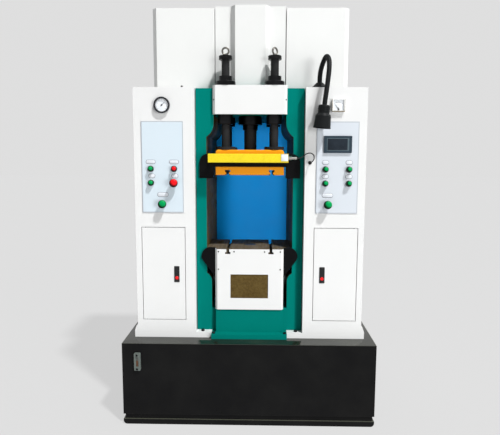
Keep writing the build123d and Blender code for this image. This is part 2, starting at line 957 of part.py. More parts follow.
def table_bracket():
    """Right bracket between the table's cover and the column: a plate with a round shoulder and a sloped foot."""
    high = table_top + table_bracket_above
    knee = high - table_bracket_shoulder
    corners = [
        (table_half, high - table_bracket_height),
        (table_bracket_outer, knee),
        (table_bracket_outer, high),
        (table_half, high),
    ]
    outline = make_face(Polyline(*corners, close=True))
    outer = outline.vertices().group_by(Axis.X)[-1].sort_by(Axis.Y)
    outline = fillet(outer[-1], table_bracket_radius)
    outer = outline.vertices().filter_by_position(Axis.Y, knee - overrun, knee + overrun)
    outline = fillet(outer, table_bracket_knee_radius)
    return Pos(0, column_front, 0) * extrude(Plane.XZ * outline, amount=bracket_thickness)


def cable_gland():
    """Cable gland on the bar's right end: a hexagon and a round nose."""
    hexagon = extrude(RegularPolygon(gland_hex_radius, 6), amount=gland_hex_length)
    nose = Pos(0, 0, gland_hex_length) * extrude(Circle(gland_nose_radius), amount=gland_nose_length)
    return Pos(bar_right, bar_y, bar_z) * Rot(0, 90, 0) * (hexagon + nose)


def route_radii(points):
    """Largest arc at each inner point of a route that leaves part of both runs straight."""
    corners = [Vector(*point) for point in points]
    radii = []
    for before, here, after in zip(corners, corners[1:], corners[2:]):
        run = min((here - before).length, (after - here).length)
        turn = (here - before).get_angle(after - here)
        radii.append(arc_reach_share * run / tan(radians(turn / 2)))
    return radii


def route_tube(points, radius):
    """Round tube along straight runs joined by tangent arcs."""
    path = FilletPolyline(*points, radius=route_radii(points))
    start = Plane(path @ 0, z_dir=path % 0)
    return sweep(start * Circle(radius), path=path)


def cable_route():
    """Points of the cable, square to the gland's nose and to the cabinet's front."""
    bends = [(gland_end + x, bar_y + y, bar_z + z) for x, y, z in cable_bends]
    entry = (cable_entry_x, cabinet_front - cable_entry_run, cable_entry_z)
    return [(gland_end, bar_y, bar_z), *bends, entry, (cable_entry_x, cabinet_front, cable_entry_z)]


def bar_cable():
    """The bar's cable, from its gland to the right cabinet."""
    route = cable_route()
    print("cable radii", [round(radius, 1) for radius in route_radii(route)])
    return route_tube(route, cable_radius)


def cabinet(instrument_hole):
    """Right cabinet: a sheet box with a door opening, a panel cut-out and the hinge lugs."""
    outer_z = (column_foot, cabinet_top)
    body = block((cabinet_inner, cabinet_outer), (cabinet_front, column_rear), outer_z)
    inner_x = (cabinet_inner + sheet, cabinet_outer - sheet)
    inner_y = (cabinet_front + sheet, column_rear - sheet)
    body -= block(inner_x, inner_y, (outer_z[0] + sheet, outer_z[1] - sheet))
    wall_y = (cabinet_front - overrun, cabinet_front + sheet + overrun)
    door_x = (door_inner - door_gap, door_outer + door_gap)
    body -= block(door_x, wall_y, (door_above_floor - door_gap, door_top + door_gap))
    half = panel_width / 2 - panel_cut_margin
    panel_z = (panel_above_floor + panel_cut_margin, panel_above_floor + panel_height - panel_cut_margin)
    body -= block((panel_centre - half, panel_centre + half), wall_y, panel_z)
    body -= spigot(dial_centre, instrument_above_floor, wall_y, instrument_hole)
    lug_x = (hinge_x - hinge_lug_half_width, hinge_x + hinge_lug_half_width)
    lug_y = (cabinet_front + sheet, hinge_y + hinge_lug_half_width)
    for low in (door_above_floor - door_gap - hinge_lug_height, door_top + door_gap):
        body += block(lug_x, lug_y, (low, low + hinge_lug_height))
    return body - pin_bores()


def pin_spans():
    """Heights of the lower and the upper hinge pin."""
    reach = door_gap + hinge_lug_height
    return [
        (door_above_floor - reach, door_above_floor + hinge_pin_grip),
        (door_top - hinge_pin_grip, door_top + reach),
    ]


def pin_bores():
    """Cutters of the holes that the right door's pins stand and turn in."""
    return [post(hinge_x, hinge_y, z_span, hinge_pin_radius + running_clearance) for z_span in pin_spans()]


def door_hinge_pins():
    """Two pins for each door, standing in the cabinets' lugs."""
    pins = [post(hinge_x, hinge_y, z_span, hinge_pin_radius) for z_span in pin_spans()]
    return pins + [mirrored(pin) for pin in pins]


def door():
    """Right door: a shallow pan with pin holes and the latch's cut-out."""
    pan_y = (cabinet_front, cabinet_front + door_pan_depth)
    pan = block((door_inner, door_outer), pan_y, (door_above_floor, door_top))
    room_z = (door_above_floor + sheet, door_top - sheet)
    pan -= block((door_inner + sheet, door_outer - sheet), (pan_y[0] + sheet, pan_y[1] + overrun), room_z)
    pan -= pin_bores()
    half = latch_width / 2 - latch_case_inset + seat_clearance
    tall = latch_height / 2 - latch_case_inset + seat_clearance
    cut_y = (cabinet_front - overrun, cabinet_front + sheet + overrun)
    cut_z = (latch_above_floor - tall, latch_above_floor + tall)
    return pan - block((latch_x - half, latch_x + half), cut_y, cut_z)


def latch():
    """Right latch body: a flanged case with the lever's recess and the button's bore."""
    z = latch_above_floor
    flange = Box(latch_width, latch_flange, latch_height)
    flange = fillet(flange.edges().filter_by(Axis.Y), latch_radius)
    body = Pos(latch_x, cabinet_front - latch_flange / 2, z) * flange
    half = latch_width / 2 - latch_case_inset
    tall = latch_height / 2 - latch_case_inset
    case_rear = cabinet_front + latch_case_depth
    body += block((latch_x - half, latch_x + half), (cabinet_front, case_rear), (z - tall, z + tall))
    recess_half = lever_width / 2 + sliding_clearance
    recess_y = (latch_front - overrun, latch_front + lever_thickness + lever_pin_from_top)
    recess_z = (z + lever_top - lever_length - lever_play, z + lever_top + lever_play)
    body -= block((latch_x - recess_half, latch_x + recess_half), recess_y, recess_z)
    button_y = (latch_front - overrun, case_rear + overrun)
    body -= spigot(latch_x, z - latch_button_low, button_y, latch_button_radius + sliding_clearance)
    return body - lever_pin(running_clearance)


def lever_pin(extra):
    """Cross pin at the lever's upper end; extra widens it into the bore that holds it."""
    length = lever_width + 2 * lever_pin_reach
    place = Pos(latch_x, latch_front + lever_thickness / 2, lever_pivot_z)
    return place * Rot(0, 90, 0) * Cylinder(lever_pin_radius + extra, length + 2 * extra)


def latch_lever():
    """Right lever: a plate that swings out about its upper end."""
    high = latch_above_floor + lever_top
    half = lever_width / 2
    plate_y = (latch_front, latch_front + lever_thickness)
    return block((latch_x - half, latch_x + half), plate_y, (high - lever_length, high)) + lever_pin(0)


def latch_button():
    """Right latch's push button."""
    front = latch_front - latch_button_proud
    z = latch_above_floor - latch_button_low
    button = spigot(latch_x, z, (front, front + latch_button_length), latch_button_radius)
    return chamfer(button.edges().group_by(Axis.Y)[0], bezel_chamfer)


def button_places(side):
    """Name, offset from the panel's middle and height of each button on one panel."""
    column = button_column_offset
    start = right_start_offset if side > 0 else 0
    return {
        "upper_outer": (side * column, upper_row_above_floor),
        "upper_inner": (-side * column, upper_row_above_floor),
        "lower_outer": (side * column, lower_row_above_floor),
        "lower_inner": (-side * column, lower_row_above_floor),
        "start": (start, start_row_above_floor),
    }


def panel_buttons():
    """Every button as (name, x, z): the left panel's five and then the right panel's five."""
    return [
        (f"{name}_{place}_button", side * panel_centre + x, z)
        for name, side in (("left", -1), ("right", 1))
        for place, (x, z) in button_places(side).items()
    ]


def control_panels():
    """Left and right control panels with their button holes and the screen's cut-out."""
    z_span = (panel_above_floor, panel_above_floor + panel_height)
    half = panel_width / 2
    panels = []
    for side in (-1, 1):
        middle = side * panel_centre
        panels.append(block((middle - half, middle + half), (panel_front, cabinet_front), z_span))
    hole_y = (panel_front - overrun, cabinet_front + overrun)
    cutters = [spigot(x, z, hole_y, panel_hole_radius) for _, x, z in panel_buttons()]
    screen_half = screen_width / 2 - screen_body_inset + seat_clearance
    screen_tall = screen_height / 2 - screen_body_inset + seat_clearance
    screen_z = (screen_above_floor - screen_tall, screen_above_floor + screen_tall)
    cutters.append(block((panel_centre - screen_half, panel_centre + screen_half), hole_y, screen_z))
    return [panel - cutters for panel in panels]


def button_bezels():
    """Collar round each button."""
    bezel = Cylinder(bezel_radius, bezel_height) - Cylinder(bezel_bore, bezel_height + overrun)
    bezel = chamfer(bezel.edges().group_by(Axis.Z)[-1].sort_by(SortBy.RADIUS)[-1], bezel_chamfer)
    upright = Rot(90, 0, 0) * bezel
    return [Pos(x, (bezel_front + panel_front) / 2, z) * upright for _, x, z in panel_buttons()]


def push_button(x, z):
    """Round cap and its stem."""
    radius = bezel_bore - sliding_clearance
    sunk = bezel_front + cap_sunk
    cap = spigot(x, z, (bezel_front - cap_proud, sunk), radius)
    cap = fillet(cap.edges().group_by(Axis.Y)[0], cap_edge_radius)
    return cap + spigot(x, z, (sunk, sunk + stem_length), stem_radius)


def mushroom_button(x, z):
    """Domed mushroom head on a neck and a stem."""
    radius = bezel_bore - sliding_clearance
    back = bezel_front - mushroom_lift
    sunk = bezel_front + cap_sunk
    head = spigot(x, z, (back - mushroom_height, back), mushroom_radius)
    head = fillet(head.edges().group_by(Axis.Y)[0], mushroom_edge)
    return head + spigot(x, z, (back, sunk), radius) + spigot(x, z, (sunk, sunk + stem_length), stem_radius)


def buttons():
    """Each button as its own node; the start buttons and the emergency stop have mushroom heads."""
    mushrooms = ("left_start_button", "right_start_button", "left_lower_inner_button")
    nodes = {}
    for name, x, z in panel_buttons():
        nodes[name] = mushroom_button(x, z) if name in mushrooms else push_button(x, z)
    return nodes


def gauge_case():
    """Pressure gauge: rim, sunk dial and the body behind the cabinet's front."""
    x, z = -dial_centre, instrument_above_floor
    front = cabinet_front - dial_rim_height
    case = spigot(x, z, (front, cabinet_front), dial_rim_radius)
    case = chamfer(case.edges().group_by(Axis.Y)[0], bezel_chamfer)
    case += spigot(x, z, (cabinet_front, cabinet_front + dial_body_depth), dial_body_radius)
    case -= spigot(x, z, (front - overrun, front + dial_depth), dial_radius)
    return case - needle_bore(x, z, front + dial_depth)


def meter_case():
    """Square panel meter: rim, sunk dial and the round body behind the cabinet's front."""
    x, z = dial_centre, instrument_above_floor
    front = cabinet_front - meter_height
    case = Box(meter_size, meter_height, meter_size)
    case = fillet(case.edges().filter_by(Axis.Y), meter_radius)
    case = Pos(x, (front + cabinet_front) / 2, z) * case
    case += spigot(x, z, (cabinet_front, cabinet_front + dial_body_depth), meter_body_radius)
    half = meter_window / 2
    case -= block((x - half, x + half), (front - overrun, front + meter_depth), (z - half, z + half))
    return case - needle_bore(x, z - meter_pivot_below, front + meter_depth)


def needle_bore(x, z, dial_y):
    """Hole in a dial for its pointer's arbor."""
    depth = needle_pin_length + seat_clearance
    return spigot(x, z, (dial_y - overrun, dial_y + depth), needle_pin_radius + running_clearance)


def needle(x, z, dial_y, length, turn):
    """Pointer that stands a little in front of its dial, on an arbor; turn is clockwise from upright."""
    back = dial_y - needle_lift
    front = back - needle_thickness
    half = needle_width / 2
    points = [(-half, -needle_tail), (half, -needle_tail), (half, 0), (0, length), (-half, 0)]
    blade = front_outline(Polyline(*points, close=True), (front, back))
    blade += spigot(0, 0, (front, back), needle_hub_radius)
    blade += spigot(0, 0, (back, dial_y + needle_pin_length), needle_pin_radius)
    return Pos(x, 0, z) * Rot(0, turn, 0) * blade


def gauge_needle():
    """Pressure gauge's pointer."""
    dial_y = cabinet_front - dial_rim_height + dial_depth
    return needle(-dial_centre, instrument_above_floor, dial_y, needle_length, dial_needle_turn)


def meter_needle():
    """Panel meter's pointer."""
    dial_y = cabinet_front - meter_height + meter_depth
    pivot_z = instrument_above_floor - meter_pivot_below
    return needle(dial_centre, pivot_z, dial_y, meter_needle_length, meter_needle_turn)


def touch_screen():
    """Operator screen: rounded bezel with a sunk glass, and the body behind the panel."""
    front = panel_front - screen_depth
    bezel = Box(screen_width, screen_depth, screen_height)
    bezel = fillet(bezel.edges().filter_by(Axis.Y), screen_radius)
    bezel = Pos(panel_centre, (front + panel_front) / 2, screen_above_floor) * bezel
    glass_x = (panel_centre - screen_glass_width / 2, panel_centre + screen_glass_width / 2)
    glass_z = (screen_above_floor - screen_glass_height / 2, screen_above_floor + screen_glass_height / 2)
    bezel -= block(glass_x, (front - overrun, front + screen_glass_depth), glass_z)
    half = screen_width / 2 - screen_body_inset
    tall = screen_height / 2 - screen_body_inset
    body_z = (screen_above_floor - tall, screen_above_floor + tall)
    body_y = (panel_front, panel_front + screen_body_depth)
    return bezel + block((panel_centre - half, panel_centre + half), body_y, body_z)


def neck_points():
    """Centre line of the gooseneck, from the foot's top to the lamp's socket."""
    foot_top = cabinet_top + lamp_foot_height
    shares = zip(lamp_neck_side_shares, lamp_neck_front_shares, lamp_neck_rise_shares)
    return [
        (
            lamp_foot_x + side * lamp_neck_side,
            lamp_foot_y - front * lamp_neck_front,
            foot_top + rise * lamp_neck_rise,
        )
        for side, front, rise in shares
    ]


def lamp_arm():
    """Lamp's flared foot with the gooseneck fixed in it."""
    foot = turned(
        [
            (0, cabinet_top),
            (lamp_foot_radius, cabinet_top),
            (lamp_foot_radius, cabinet_top + lamp_foot_rim),
            (lamp_foot_neck_radius, cabinet_top + lamp_foot_height),
            (0, cabinet_top + lamp_foot_height),
        ]
    )
    return Pos(lamp_foot_x, lamp_foot_y, 0) * foot + route_tube(neck_points(), lamp_neck_radius)


def lamp_shade():
    """Socket and bell-shaped shade that hang from the gooseneck's end, open below."""
    before, end = [Vector(*point) for point in neck_points()[-2:]]
    socket_low = -socket_length
    shoulder = socket_low - shade_shoulder_drop
    mouth = socket_low - shade_length
    shade = turned(
        [
            (0, 0),
            (socket_radius - socket_rim, 0),
            (socket_radius, -socket_rim),
            (socket_radius, socket_low),
            (shade_shoulder_radius, shoulder),
            (shade_radius, mouth),
            (shade_radius - shade_wall, mouth),
            (shade_shoulder_radius - shade_wall, shoulder),
            (socket_radius - shade_wall, socket_low),
            (0, socket_low),
        ]
    )
    return Plane(end, z_dir=before - end) * shade


def hydraulic_unit():
    """Motor, bell housing, pump and manifold on one plate, in the left cabinet."""
    x = -(cabinet_inner + cabinet_outer) / 2
    y = cabinet_front + unit_behind_face
    low = column_foot + sheet
    plate_top = low + unit_plate
    pump_top = plate_top + pump_length
    bell_top = pump_top + bell_length
    motor_top = bell_top + motor_length
    half = unit_plate_half_width
    unit = block((x - half, x + half), (y - half, y + half), (low, plate_top))
    unit += post(x, y, (plate_top, pump_top), pump_radius)
    unit += post(x, y, (pump_top, bell_top), bell_radius)
    unit += post(x, y, (bell_top, motor_top), motor_radius - motor_fin_depth)
    fin_x = (motor_radius - 2 * motor_fin_depth, motor_radius)
    fin = block(fin_x, (-motor_fin_width / 2, motor_fin_width / 2), (bell_top, motor_top))
    unit += [Pos(x, y, 0) * place * fin for place in PolarLocations(0, motor_fin_count)]
    unit += post(x, y, (motor_top, motor_top + fan_cover_length), fan_cover_radius)
    manifold_x = (x - manifold_length / 2, x + manifold_length / 2)
    manifold_y = (y - half, y - half + manifold_size)
    return unit + block(manifold_x, manifold_y, (plate_top, plate_top + manifold_size))


def electrical_plate():
    """Mounting plate with rows of devices, on stand-offs from the right cabinet's back."""
    x = (cabinet_inner + cabinet_outer) / 2
    rear = column_rear - sheet
    face = rear - device_standoff
    low = device_plate_foot
    half = device_plate_width / 2
    plate_z = (low, low + device_plate_height)
    plate = block((x - half, x + half), (face - device_plate_thickness, face), plate_z)
    corner_x = half - 2 * device_standoff_radius
    for side in (-1, 1):
        for z in (low + 2 * device_standoff_radius, low + device_plate_height - 2 * device_standoff_radius):
            plate += spigot(x + side * corner_x, z, (face, rear), device_standoff_radius)
    front = face - device_plate_thickness
    pitch_x = device_plate_width / device_per_rail
    pitch_z = device_plate_height / device_rail_count
    device = Box(device_width, device_depth, device_height)
    middle = Pos(x, front - device_depth / 2, low + device_plate_height / 2)
    grid = GridLocations(pitch_x, pitch_z, device_per_rail, device_rail_count)
    return plate + [middle * Pos(place.position.X, 0, place.position.Y) * device for place in grid]


def build_nodes():
    """Every node's name with its solid or group of solids."""
    right_foot = foot_plate()
    right_column = column()
    right_door = door()
    right_latch = latch()
    right_lever = latch_lever()
    right_latch_button = latch_button()
    nodes = {
        "base_tank": base_tank(),
        "level_gauge": level_gauge(),
        "foot_plates": both_sides(right_foot),
        "left_column": mirrored(right_column),
        "right_column": right_column,
        "crown_beam": crown_beam(),
        "crown_cover": crown_cover(),
        "bed_beam": bed_beam(),
        "table_plate": table_plate(),
        "table_cover": table_cover(),
        "table_mesh": table_mesh(),
        "frame_brackets": [bar_carrier()] + both_sides(table_bracket()),
        "rear_guard_panel": rear_guard_panel(),
        "side_upper_covers": both_sides(side_upper_cover()),
        "centre_upper_cover": centre_upper_cover(),
        "main_cylinder": main_cylinder(),
        "gland_nut": gland_nut(),
        "main_ram": main_ram(),
        "guide_bushes": guide_bushes(),
        "guide_rods": guide_rods(),
        "stop_collars": stop_collars(),
        "lifting_eyes": lifting_eyes(),
        "slide": slide(),
        "ejector_cylinder": ejector_cylinder(),
        "ejector_rod": ejector_rod(),
        "light_bar": light_bar(),
        "cable_gland": cable_gland(),
        "bar_cable": bar_cable(),
        "left_cabinet": mirrored(cabinet(dial_body_radius + seat_clearance)),
        "right_cabinet": cabinet(meter_body_radius + seat_clearance),
        "left_door": mirrored(right_door),
        "right_door": right_door,
        "door_hinge_pins": door_hinge_pins(),
        "left_latch": mirrored(right_latch),
        "right_latch": right_latch,
        "left_latch_lever": mirrored(right_lever),
        "right_latch_lever": right_lever,
        "left_latch_button": mirrored(right_latch_button),
        "right_latch_button": right_latch_button,
        "control_panels": control_panels(),
        "button_bezels": button_bezels(),
        "gauge_case": gauge_case(),
        "gauge_needle": gauge_needle(),
        "meter_case": meter_case(),
        "meter_needle": meter_needle(),
        "touch_screen": touch_screen(),
        "lamp_arm": lamp_arm(),
        "lamp_shade": lamp_shade(),
        "hydraulic_unit": hydraulic_unit(),
        "electrical_plate": electrical_plate(),
    }
    nodes.update(buttons())
    return nodes


def main():
    """Write each node to its own file."""
    os.makedirs("parts", exist_ok=True)
    for name, shape in build_nodes().items():
        solids = shape if isinstance(shape, list) else [shape]
        export_step(Compound(children=solids) if len(solids) > 1 else solids[0], f"parts/{name}.step")


main()
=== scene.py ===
# %% [markdown]
# A floor-standing hydraulic press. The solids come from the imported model, in metres, with +Z up and the
# front towards -Y. This lesson gives them their finishes and adds the small things that only show:
# screws, dials, glasses, wire mesh and the cable.

# %% Load the press
import json
from math import cos, pi, radians, sin

import bmesh
import bpy
from mathutils import Matrix, Vector


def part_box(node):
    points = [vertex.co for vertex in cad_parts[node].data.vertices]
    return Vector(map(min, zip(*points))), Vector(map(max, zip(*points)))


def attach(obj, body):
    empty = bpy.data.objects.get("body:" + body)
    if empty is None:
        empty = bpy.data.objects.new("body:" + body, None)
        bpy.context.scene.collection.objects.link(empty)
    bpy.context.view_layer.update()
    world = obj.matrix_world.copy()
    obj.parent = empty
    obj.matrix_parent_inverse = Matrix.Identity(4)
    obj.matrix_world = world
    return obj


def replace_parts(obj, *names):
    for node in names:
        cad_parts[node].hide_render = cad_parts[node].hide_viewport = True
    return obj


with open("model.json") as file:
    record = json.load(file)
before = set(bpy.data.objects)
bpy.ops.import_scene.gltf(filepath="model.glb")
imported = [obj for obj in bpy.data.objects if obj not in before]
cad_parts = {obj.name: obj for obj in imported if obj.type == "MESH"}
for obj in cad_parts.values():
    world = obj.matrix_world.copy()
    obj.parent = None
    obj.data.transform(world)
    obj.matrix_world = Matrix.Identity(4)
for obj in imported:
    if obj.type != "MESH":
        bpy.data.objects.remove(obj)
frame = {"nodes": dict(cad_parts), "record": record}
scene = bpy.context.scene
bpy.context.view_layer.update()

# %% [markdown]
# The photograph was taken from a little above the slide, almost square on. The camera could be placed by
# eye, but matching the edges of the cabinets, the window and the base gives its place, its small turns and
# its lens, so that the press falls where it lies in the photograph.

# %% Camera
camera_place = Vector((0.0502, -2.7432, 1.3070))
camera_yaw, camera_pitch, camera_roll = radians(1.117), radians(6.862), radians(0.202)
focal_length, sensor_width = 36.36, 36.0


def camera_axes():
    """Right, up and backward directions of the camera."""
    ahead = Vector((-sin(camera_yaw) * cos(camera_pitch), cos(camera_yaw) * cos(camera_pitch),
                    -sin(camera_pitch)))
    right = Vector((cos(camera_yaw), sin(camera_yaw), 0))
    up = right.cross(ahead)
    rolled_right = cos(camera_roll) * right + sin(camera_roll) * up
    rolled_up = cos(camera_roll) * up - sin(camera_roll) * right
    return rolled_right, rolled_up, -ahead


lens = bpy.data.cameras.new("photo_camera")
lens.lens, lens.sensor_width = focal_length, sensor_width
camera = bpy.data.objects.new("photo_camera", lens)
scene.collection.objects.link(camera)
camera.matrix_world = Matrix.Translation(camera_place) @ Matrix(camera_axes()).transposed().to_4x4()
scene.camera = camera
scene.view_settings.view_transform = "Standard"
print("camera at", tuple(camera_place))

# %% [markdown]
# The light in the photograph comes from high on the right, in front: every shadow falls to the left and
# down. Several area lamps could do that, but one sun with a soft edge gives all shadows one direction. A
# large soft panel far off on the same side evens out the front, and a small one inside the window, aimed
# to the back, lights the blue sheet.

# %% Lamps


def lamp(name, kind, power, aim):
    """Lamp of one kind that shines along a direction."""
    made = bpy.data.objects.new(name, bpy.data.lights.new(name, kind))
    scene.collection.objects.link(made)
    made.data.energy = power
    made.rotation_euler = Vector(aim).to_track_quat("-Z", "Y").to_euler()
    return made


def soft_panel(name, power, size, place, aim, spread=180):
    """Area lamp that lights without a mirror image of itself."""
    made = lamp(name, "AREA", power, aim)
    made.location = place
    made.visible_glossy = False
    made.data.shape = "RECTANGLE"
    made.data.size, made.data.size_y = size
    made.data.spread = radians(spread)


sun = lamp("key_sun", "SUN", 3.85, (-0.88, 1.0, -2.0))
sun.data.angle = radians(4)
soft_panel("side_panel", 615, (3.9, 3.9), (6.6, -8.3, 1.5), (-0.80, 1.0, -0.04))
soft_panel("window_fill", 0.40, (0.36, 0.76), (0.03, 0.06, 1.12), (0.0, 1.0, 0.0), 40)
print("sun", sun.data.energy)

# %% [markdown]
# A studio's pale room fills the shadows and shows in everything glossy. A picture of a studio could
# surround the press, but two plain backgrounds are enough: an even grey where the room is seen, straight
# on, in gloss or through glass, and a weak pale fill for all other light. They are nodes in a tree, so a
# few helpers come first. These add a node with its values, join sockets, do sums and mix two shaders.

# %% Node helpers and surroundings


def link(tree, source, target):
    """Join an output socket to an input socket."""
    tree.links.new(source, target)


def add(tree, kind, settings=None, **sockets):
    """A new node with its settings and its input values; a socket's blanks are written as underscores."""
    made = tree.nodes.new(kind)
    for key, value in (settings or {}).items():
        setattr(made, key, value)
    for key, value in sockets.items():
        made.inputs[key.replace("_", " ")].default_value = value
    return made


def maths(tree, operation, *values):
    """Result of a sum; each value is a number or an output socket."""
    made = add(tree, "ShaderNodeMath", {"operation": operation})
    for socket, value in zip(made.inputs, values):
        if isinstance(value, float):
            socket.default_value = value
        else:
            link(tree, value, socket)
    return made.outputs[0]


def seen_rays(tree):
    """1 for rays that show the background: from the camera, off metal and through glass."""
    rays = add(tree, "ShaderNodeLightPath").outputs
    straight_or_glossy = maths(tree, "MAXIMUM", rays["Is Camera Ray"], rays["Is Glossy Ray"])
    return maths(tree, "MAXIMUM", straight_or_glossy, rays["Is Transmission Ray"])


def mix_shaders(tree, amount, first, second, output):
    """Mix two shader nodes and lead the mix to the tree's output node."""
    made = add(tree, "ShaderNodeMixShader")
    for socket, source in zip(made.inputs, (amount, first.outputs[0], second.outputs[0])):
        link(tree, source, socket)
    link(tree, made.outputs[0], tree.nodes[output].inputs["Surface"])


background_grey = (0.735, 0.735, 0.735, 1)
world = bpy.data.worlds.new("studio")
scene.world = world
world.use_nodes = True
tree = world.node_tree
shown = add(tree, "ShaderNodeBackground", Color=background_grey, Strength=1.0)
fill = add(tree, "ShaderNodeBackground", Color=(0.97, 0.98, 1.0, 1), Strength=0.22)
mix_shaders(tree, seen_rays(tree), fill, shown, "World Output")
print("fill", round(fill.inputs["Strength"].default_value, 3))

# %% [markdown]
# The floor in the photograph has no edge and no pattern, only a soft shadow. A plain lit plane would show a
# line where it ends, so most of what is seen of this one is its own even grey, which runs into the
# background. The rest is lit, which keeps the shadow.

# %% Floor
floor_reach, floor_grey, floor_rough, even_share = 30, (0.59, 0.59, 0.59, 1), 0.9, 0.8
bm = bmesh.new()
bmesh.ops.create_grid(bm, x_segments=1, y_segments=1, size=floor_reach)
mesh = bpy.data.meshes.new("floor")
bm.to_mesh(mesh)
bm.free()
floor = bpy.data.objects.new("floor", mesh)
scene.collection.objects.link(floor)
floor_finish = bpy.data.materials.new("floor_grey")
floor_finish.use_nodes = True
tree = floor_finish.node_tree
lit = tree.nodes["Principled BSDF"]
lit.inputs["Base Color"].default_value = floor_grey
lit.inputs["Roughness"].default_value = floor_rough
even = add(tree, "ShaderNodeEmission", Color=background_grey, Strength=1.0)
mix_shaders(tree, maths(tree, "MULTIPLY", seen_rays(tree), even_share), lit, even, "Material Output")
mesh.materials.append(floor_finish)
print("floor", floor.dimensions[:2])

# %% [markdown]
# Paint, steel and plastic all vary a little over a surface. Pictures could show that, but noise on the
# piece's own coordinates needs no files, has no seams and stays in place when the piece moves. These
# helpers make the noise, bring it to a span and blend colours with it.

# %% Helpers for noise and colour


def blank_finish(name, gloss=0.3):
    """A new material with its node tree and shader; gloss is the strength of its mirror light."""
    finish = bpy.data.materials.new(name)
    finish.use_nodes = True
    shader = finish.node_tree.nodes["Principled BSDF"]
    shader.inputs["Specular IOR Level"].default_value = gloss
    return finish, finish.node_tree, shader


def feed(tree, shader, **sources):
    """Join output sockets to a shader's inputs; a socket's blanks are written as underscores."""
    for key, source in sources.items():
        link(tree, source, shader.inputs[key.replace("_", " ")])


def noise(tree, scale, detail=3, stretch=None):
    """Noise on the piece's own coordinates, in cycles per metre; stretch scales each axis."""
    place = add(tree, "ShaderNodeTexCoord").outputs["Object"]
    if stretch:
        mapping = add(tree, "ShaderNodeMapping", Scale=stretch)
        link(tree, place, mapping.inputs["Vector"])
        place = mapping.outputs["Vector"]
    made = add(tree, "ShaderNodeTexNoise", Scale=scale, Detail=detail, Roughness=0.6)
    link(tree, place, made.inputs["Vector"])
    return made.outputs["Fac"]


def ramp(tree, value, low, high, start=0.0, end=1.0):
    """Map a value from one span to another, clamped."""
    made = add(tree, "ShaderNodeMapRange", From_Min=low, From_Max=high, To_Min=start, To_Max=end)
    link(tree, value, made.inputs["Value"])
    return made.outputs["Result"]


def cloud(tree, scale, start=0.0, end=1.0, detail=3):
    """Soft noise over a span."""
    return ramp(tree, noise(tree, scale, detail), 0.3, 0.7, start, end)


def mix(tree, amount, first, second):
    """Blend two colours; each is a colour or a socket."""
    made = add(tree, "ShaderNodeMix", {"data_type": "RGBA"})
    link(tree, amount, made.inputs["Factor"])
    for index, colour in ((6, first), (7, second)):
        if isinstance(colour, tuple):
            made.inputs[index].default_value = (*colour, 1)
        else:
            link(tree, colour, made.inputs[index])
    return made.outputs[2]


def tint(colour, amount):
    """A colour made darker or paler."""
    return tuple(min(1.0, channel * amount) for channel in colour)


print("noise and colour helpers ready")

# %% [markdown]
# Real edges are never sharp: they catch the light and lose their paint first. Bevelling every solid would
# change it, so the Bevel node rounds only the normals. Where its normal leaves the face's own normal there
# is an edge, which gives the place of the wear. A fine bump on top breaks up the gloss.

# %% Helpers for edges and skin


def face_normal(tree):
    """The direction that the surface faces."""
    return add(tree, "ShaderNodeNewGeometry").outputs["Normal"]


def dot(tree, first, second):
    """Product of two directions; the second is a socket or a plain vector."""
    made = add(tree, "ShaderNodeVectorMath", {"operation": "DOT_PRODUCT"})
    link(tree, first, made.inputs[0])
    if isinstance(second, tuple):
        made.inputs[1].default_value = second
    else:
        link(tree, second, made.inputs[1])
    return made.outputs["Value"]


def edge_mask(tree, radius):
    """The rounded normal, and a mask that is 1 along sharp edges."""
    rounded = add(tree, "ShaderNodeBevel", {"samples": 6}, Radius=radius).outputs["Normal"]
    return rounded, ramp(tree, dot(tree, rounded, face_normal(tree)), 0.98, 0.8)


def skin(tree, shader, height, strength, normal):
    """Bump from a height, laid over a normal."""
    bump = add(tree, "ShaderNodeBump", Strength=strength, Distance=0.001)
    link(tree, height, bump.inputs["Height"])
    link(tree, normal, bump.inputs["Normal"])
    link(tree, bump.outputs["Normal"], shader.inputs["Normal"])


print("edge helpers ready")

# %% [markdown]
# The sheets of the press are sprayed with machine paint. It is never one flat colour: it has a slow drift
# of tone, a fine orange-peel skin that breaks up the gloss, and edges rubbed in patches. One function makes
# every paint, so that they differ only in colour, gloss and wear.

# %% Finish: machine paint


def machine_paint(name, colour, rough=0.34, worn=None, drift=0.05, gloss=0.3):
    """Sprayed paint: tone drift, orange peel and rubbed edges."""
    finish, tree, shader = blank_finish(name, gloss)
    tone = mix(tree, cloud(tree, 3.0), tint(colour, 1 - drift), tint(colour, 1 + drift))
    normal, mask = edge_mask(tree, 0.0012)
    if worn:
        patches = ramp(tree, noise(tree, 28.0, 5), 0.45, 0.75, 0.0, 0.7)
        tone = mix(tree, maths(tree, "MULTIPLY", mask, patches), tone, worn)
    feed(tree, shader, Base_Color=tone, Roughness=cloud(tree, 14.0, rough - 0.05, rough + 0.07))
    skin(tree, shader, noise(tree, 420.0, 2), 0.12, normal)
    return finish


chipped_white = (0.62, 0.60, 0.55)
paints = {
    "white_paint": dict(colour=(0.68, 0.685, 0.68), worn=chipped_white, drift=0.015),
    "cover_white": dict(colour=(0.68, 0.688, 0.677), worn=chipped_white, drift=0.02),
    "guard_blue": dict(colour=(0.0, 0.36, 1.0), rough=0.5, drift=0.04, gloss=0.1),
    "bracket_black": dict(colour=(0.003, 0.003, 0.0034), rough=0.6, gloss=0.08),
    "cylinder_steel": dict(colour=(0.2, 0.21, 0.22)),
    "unit_grey": dict(colour=(0.16, 0.19, 0.22), rough=0.45),
    "lamp_black": dict(colour=(0.007, 0.008, 0.0085), rough=0.45, gloss=0.12),
    "device_grey": dict(colour=(0.55, 0.55, 0.53), rough=0.45),
}
finishes = {name: machine_paint(name, **settings) for name, settings in paints.items()}
print("paints", sorted(finishes))

